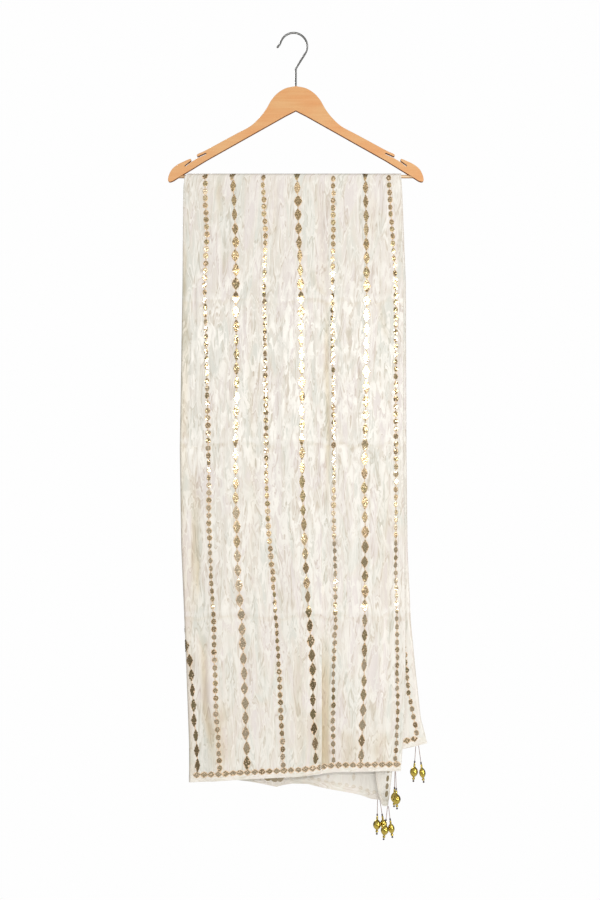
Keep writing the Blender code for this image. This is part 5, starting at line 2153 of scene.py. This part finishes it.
@dataclass(frozen=True)
class Lamp:
    """A rectangular lamp that faces a target."""

    name: str
    spot: Triple
    target: Triple
    size: Pair
    power: float
    colour: str = "FFFFFF"

    def build(self) -> None:
        """Add it to the scene."""
        data = bpy.data.lights.new(self.name, "AREA")
        data.shape = "RECTANGLE"
        data.size, data.size_y = self.size
        data.energy = self.power
        data.color = linear(self.colour)[:3]
        lamp = new_object(self.name, data)
        lamp.location = self.spot
        way = Vector(self.target) - Vector(self.spot)
        lamp.rotation_euler = way.to_track_quat("-Z", "Y").to_euler()


@dataclass
class Studio:
    """The camera, the floor and the lights."""

    camera_x: float = 0.0113
    camera_z: float = -0.7344
    distance: float = 3.2
    frame_height: float = 1.5885  # what the frame takes in at the cloth
    floor_level: float = -1.75
    floor_half: Pair = (1.3, 0.75)
    # Soft light: a lamp over the camera, a large box to the right, a low one and one behind.
    lamps: tuple[Lamp, ...] = (
        Lamp("lamp_over_camera", (0.05, -3.3, -0.31), (0.0, 0.0, -0.31), (0.8, 0.25), 26.6, "FFFDF8"),
        Lamp("soft_box_right", (2.4, -2.2, 0.55), (0.0, 0.0, -0.65), (1.6, 1.6), 28.0),
        Lamp("soft_box_low", (1.7, -2.2, -1.42), (0.1, 0.0, -1.2), (1.2, 0.55), 19.0),
        Lamp("soft_box_behind", (-1.2, 2.8, 0.8), (0.0, 0.0, -0.65), (1.8, 1.4), 90.0))
    # What mirrors see of the room, from behind the camera to behind the cloth.
    room: tuple[tuple[float, str], ...] = (
        (0.0, "9E9D9A"), (0.045, "A09F9C"), (0.12, "C9C9C7"), (0.34, "C5C5C3"), (0.48, "8A8986"),
        (0.62, "6E6D6A"), (0.85, "75746F"))

    def make_camera(self) -> None:
        """Set the camera straight in front, with the field that the frame's height needs."""
        data = bpy.data.cameras.new("camera")
        data.sensor_fit = "VERTICAL"
        data.angle = 2 * math.atan(self.frame_height / 2 / self.distance)
        camera = new_object("camera", data)
        camera.location = (self.camera_x, -self.distance, self.camera_z)
        camera.rotation_euler = (math.pi / 2, 0.0, 0.0)
        bpy.context.scene.camera = camera

    def make_room(self) -> None:
        """Make the world: white to the camera, and the room's greys to everything else."""
        world = bpy.data.worlds.new("studio")
        bpy.context.scene.world = world
        world.use_nodes = True
        world.node_tree.nodes.clear()
        add = partial(add_node, world.node_tree)
        seen = add("Background", {"Color": linear("FEFEFE"), "Strength": 1.0})
        where = add("TexCoord").outputs["Generated"]
        where = add("SeparateXYZ", links={"Vector": where}).outputs["Y"]
        where = add("MapRange", {"From Min": -1.0, "From Max": 1.0}, {"Value": where})
        greys = add("ValToRGB", {"stops": self.room}, {"Fac": where})
        fill = add("Background", {"Strength": 1.0}, {"Color": greys})
        ray = add("LightPath").outputs["Is Camera Ray"]
        mix = add("MixShader", links={0: ray, 1: fill, 2: seen})
        add("OutputWorld", links={"Surface": mix})

    def make_floor(self) -> None:
        """Lay the pale floor."""
        corners = np.array([(-1, -1), (1, -1), (1, 1), (-1, 1)]) * self.floor_half
        points = np.concatenate([corners, np.full((4, 1), self.floor_level)], axis=1)
        floor = mesh_piece("floor", points, [np.arange(4)[None]], closed=False)
        material, add, shader = new_material("pale matt floor paint")
        metres = {"Vector": add("TexCoord").outputs["Object"]}
        mottle = add("TexNoise", {"cell": (240.0, 240.0, 240.0), "Detail": 3.0}, metres)
        ramp = add("ValToRGB", {"stops": ((0.3, "ECECEA"), (0.7, "F4F4F2"))}, {"Fac": mottle})
        set_node(shader, {"Roughness": 0.7}, {"Base Color": ramp})
        floor.data.materials.append(material)

    def build(self) -> None:
        """Set up the camera, lights and floor."""
        self.make_camera()
        for lamp in self.lamps:
            lamp.build()
        self.make_room()
        self.make_floor()
        bpy.context.scene.view_settings.view_transform = "Standard"


DROP_RADII = {"front_inner_a": 0.007, "front_inner_b": 0.0056, "front_outer_a": 0.007,
              "front_outer_b": 0.0062, "back_outer_a": 0.007, "back_outer_b": 0.006,
              "back_inner_a": 0.007, "back_inner_b": 0.0058}


def main() -> None:
    """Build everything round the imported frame, in order, and report each piece."""
    logging.basicConfig(level=logging.INFO, format="%(message)s")
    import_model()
    Studio().build()
    finishes = Finishes()
    tassels = [Tassel(name, finishes, radius) for name, radius in DROP_RADII.items()]
    for assembly in (*tassels, Hanger(finishes), Dupatta(finishes)):
        for piece in assembly.build():
            LOG.info("%s: %s", piece.name, piece.active_material.name)


if __name__ == "__main__":
    main()
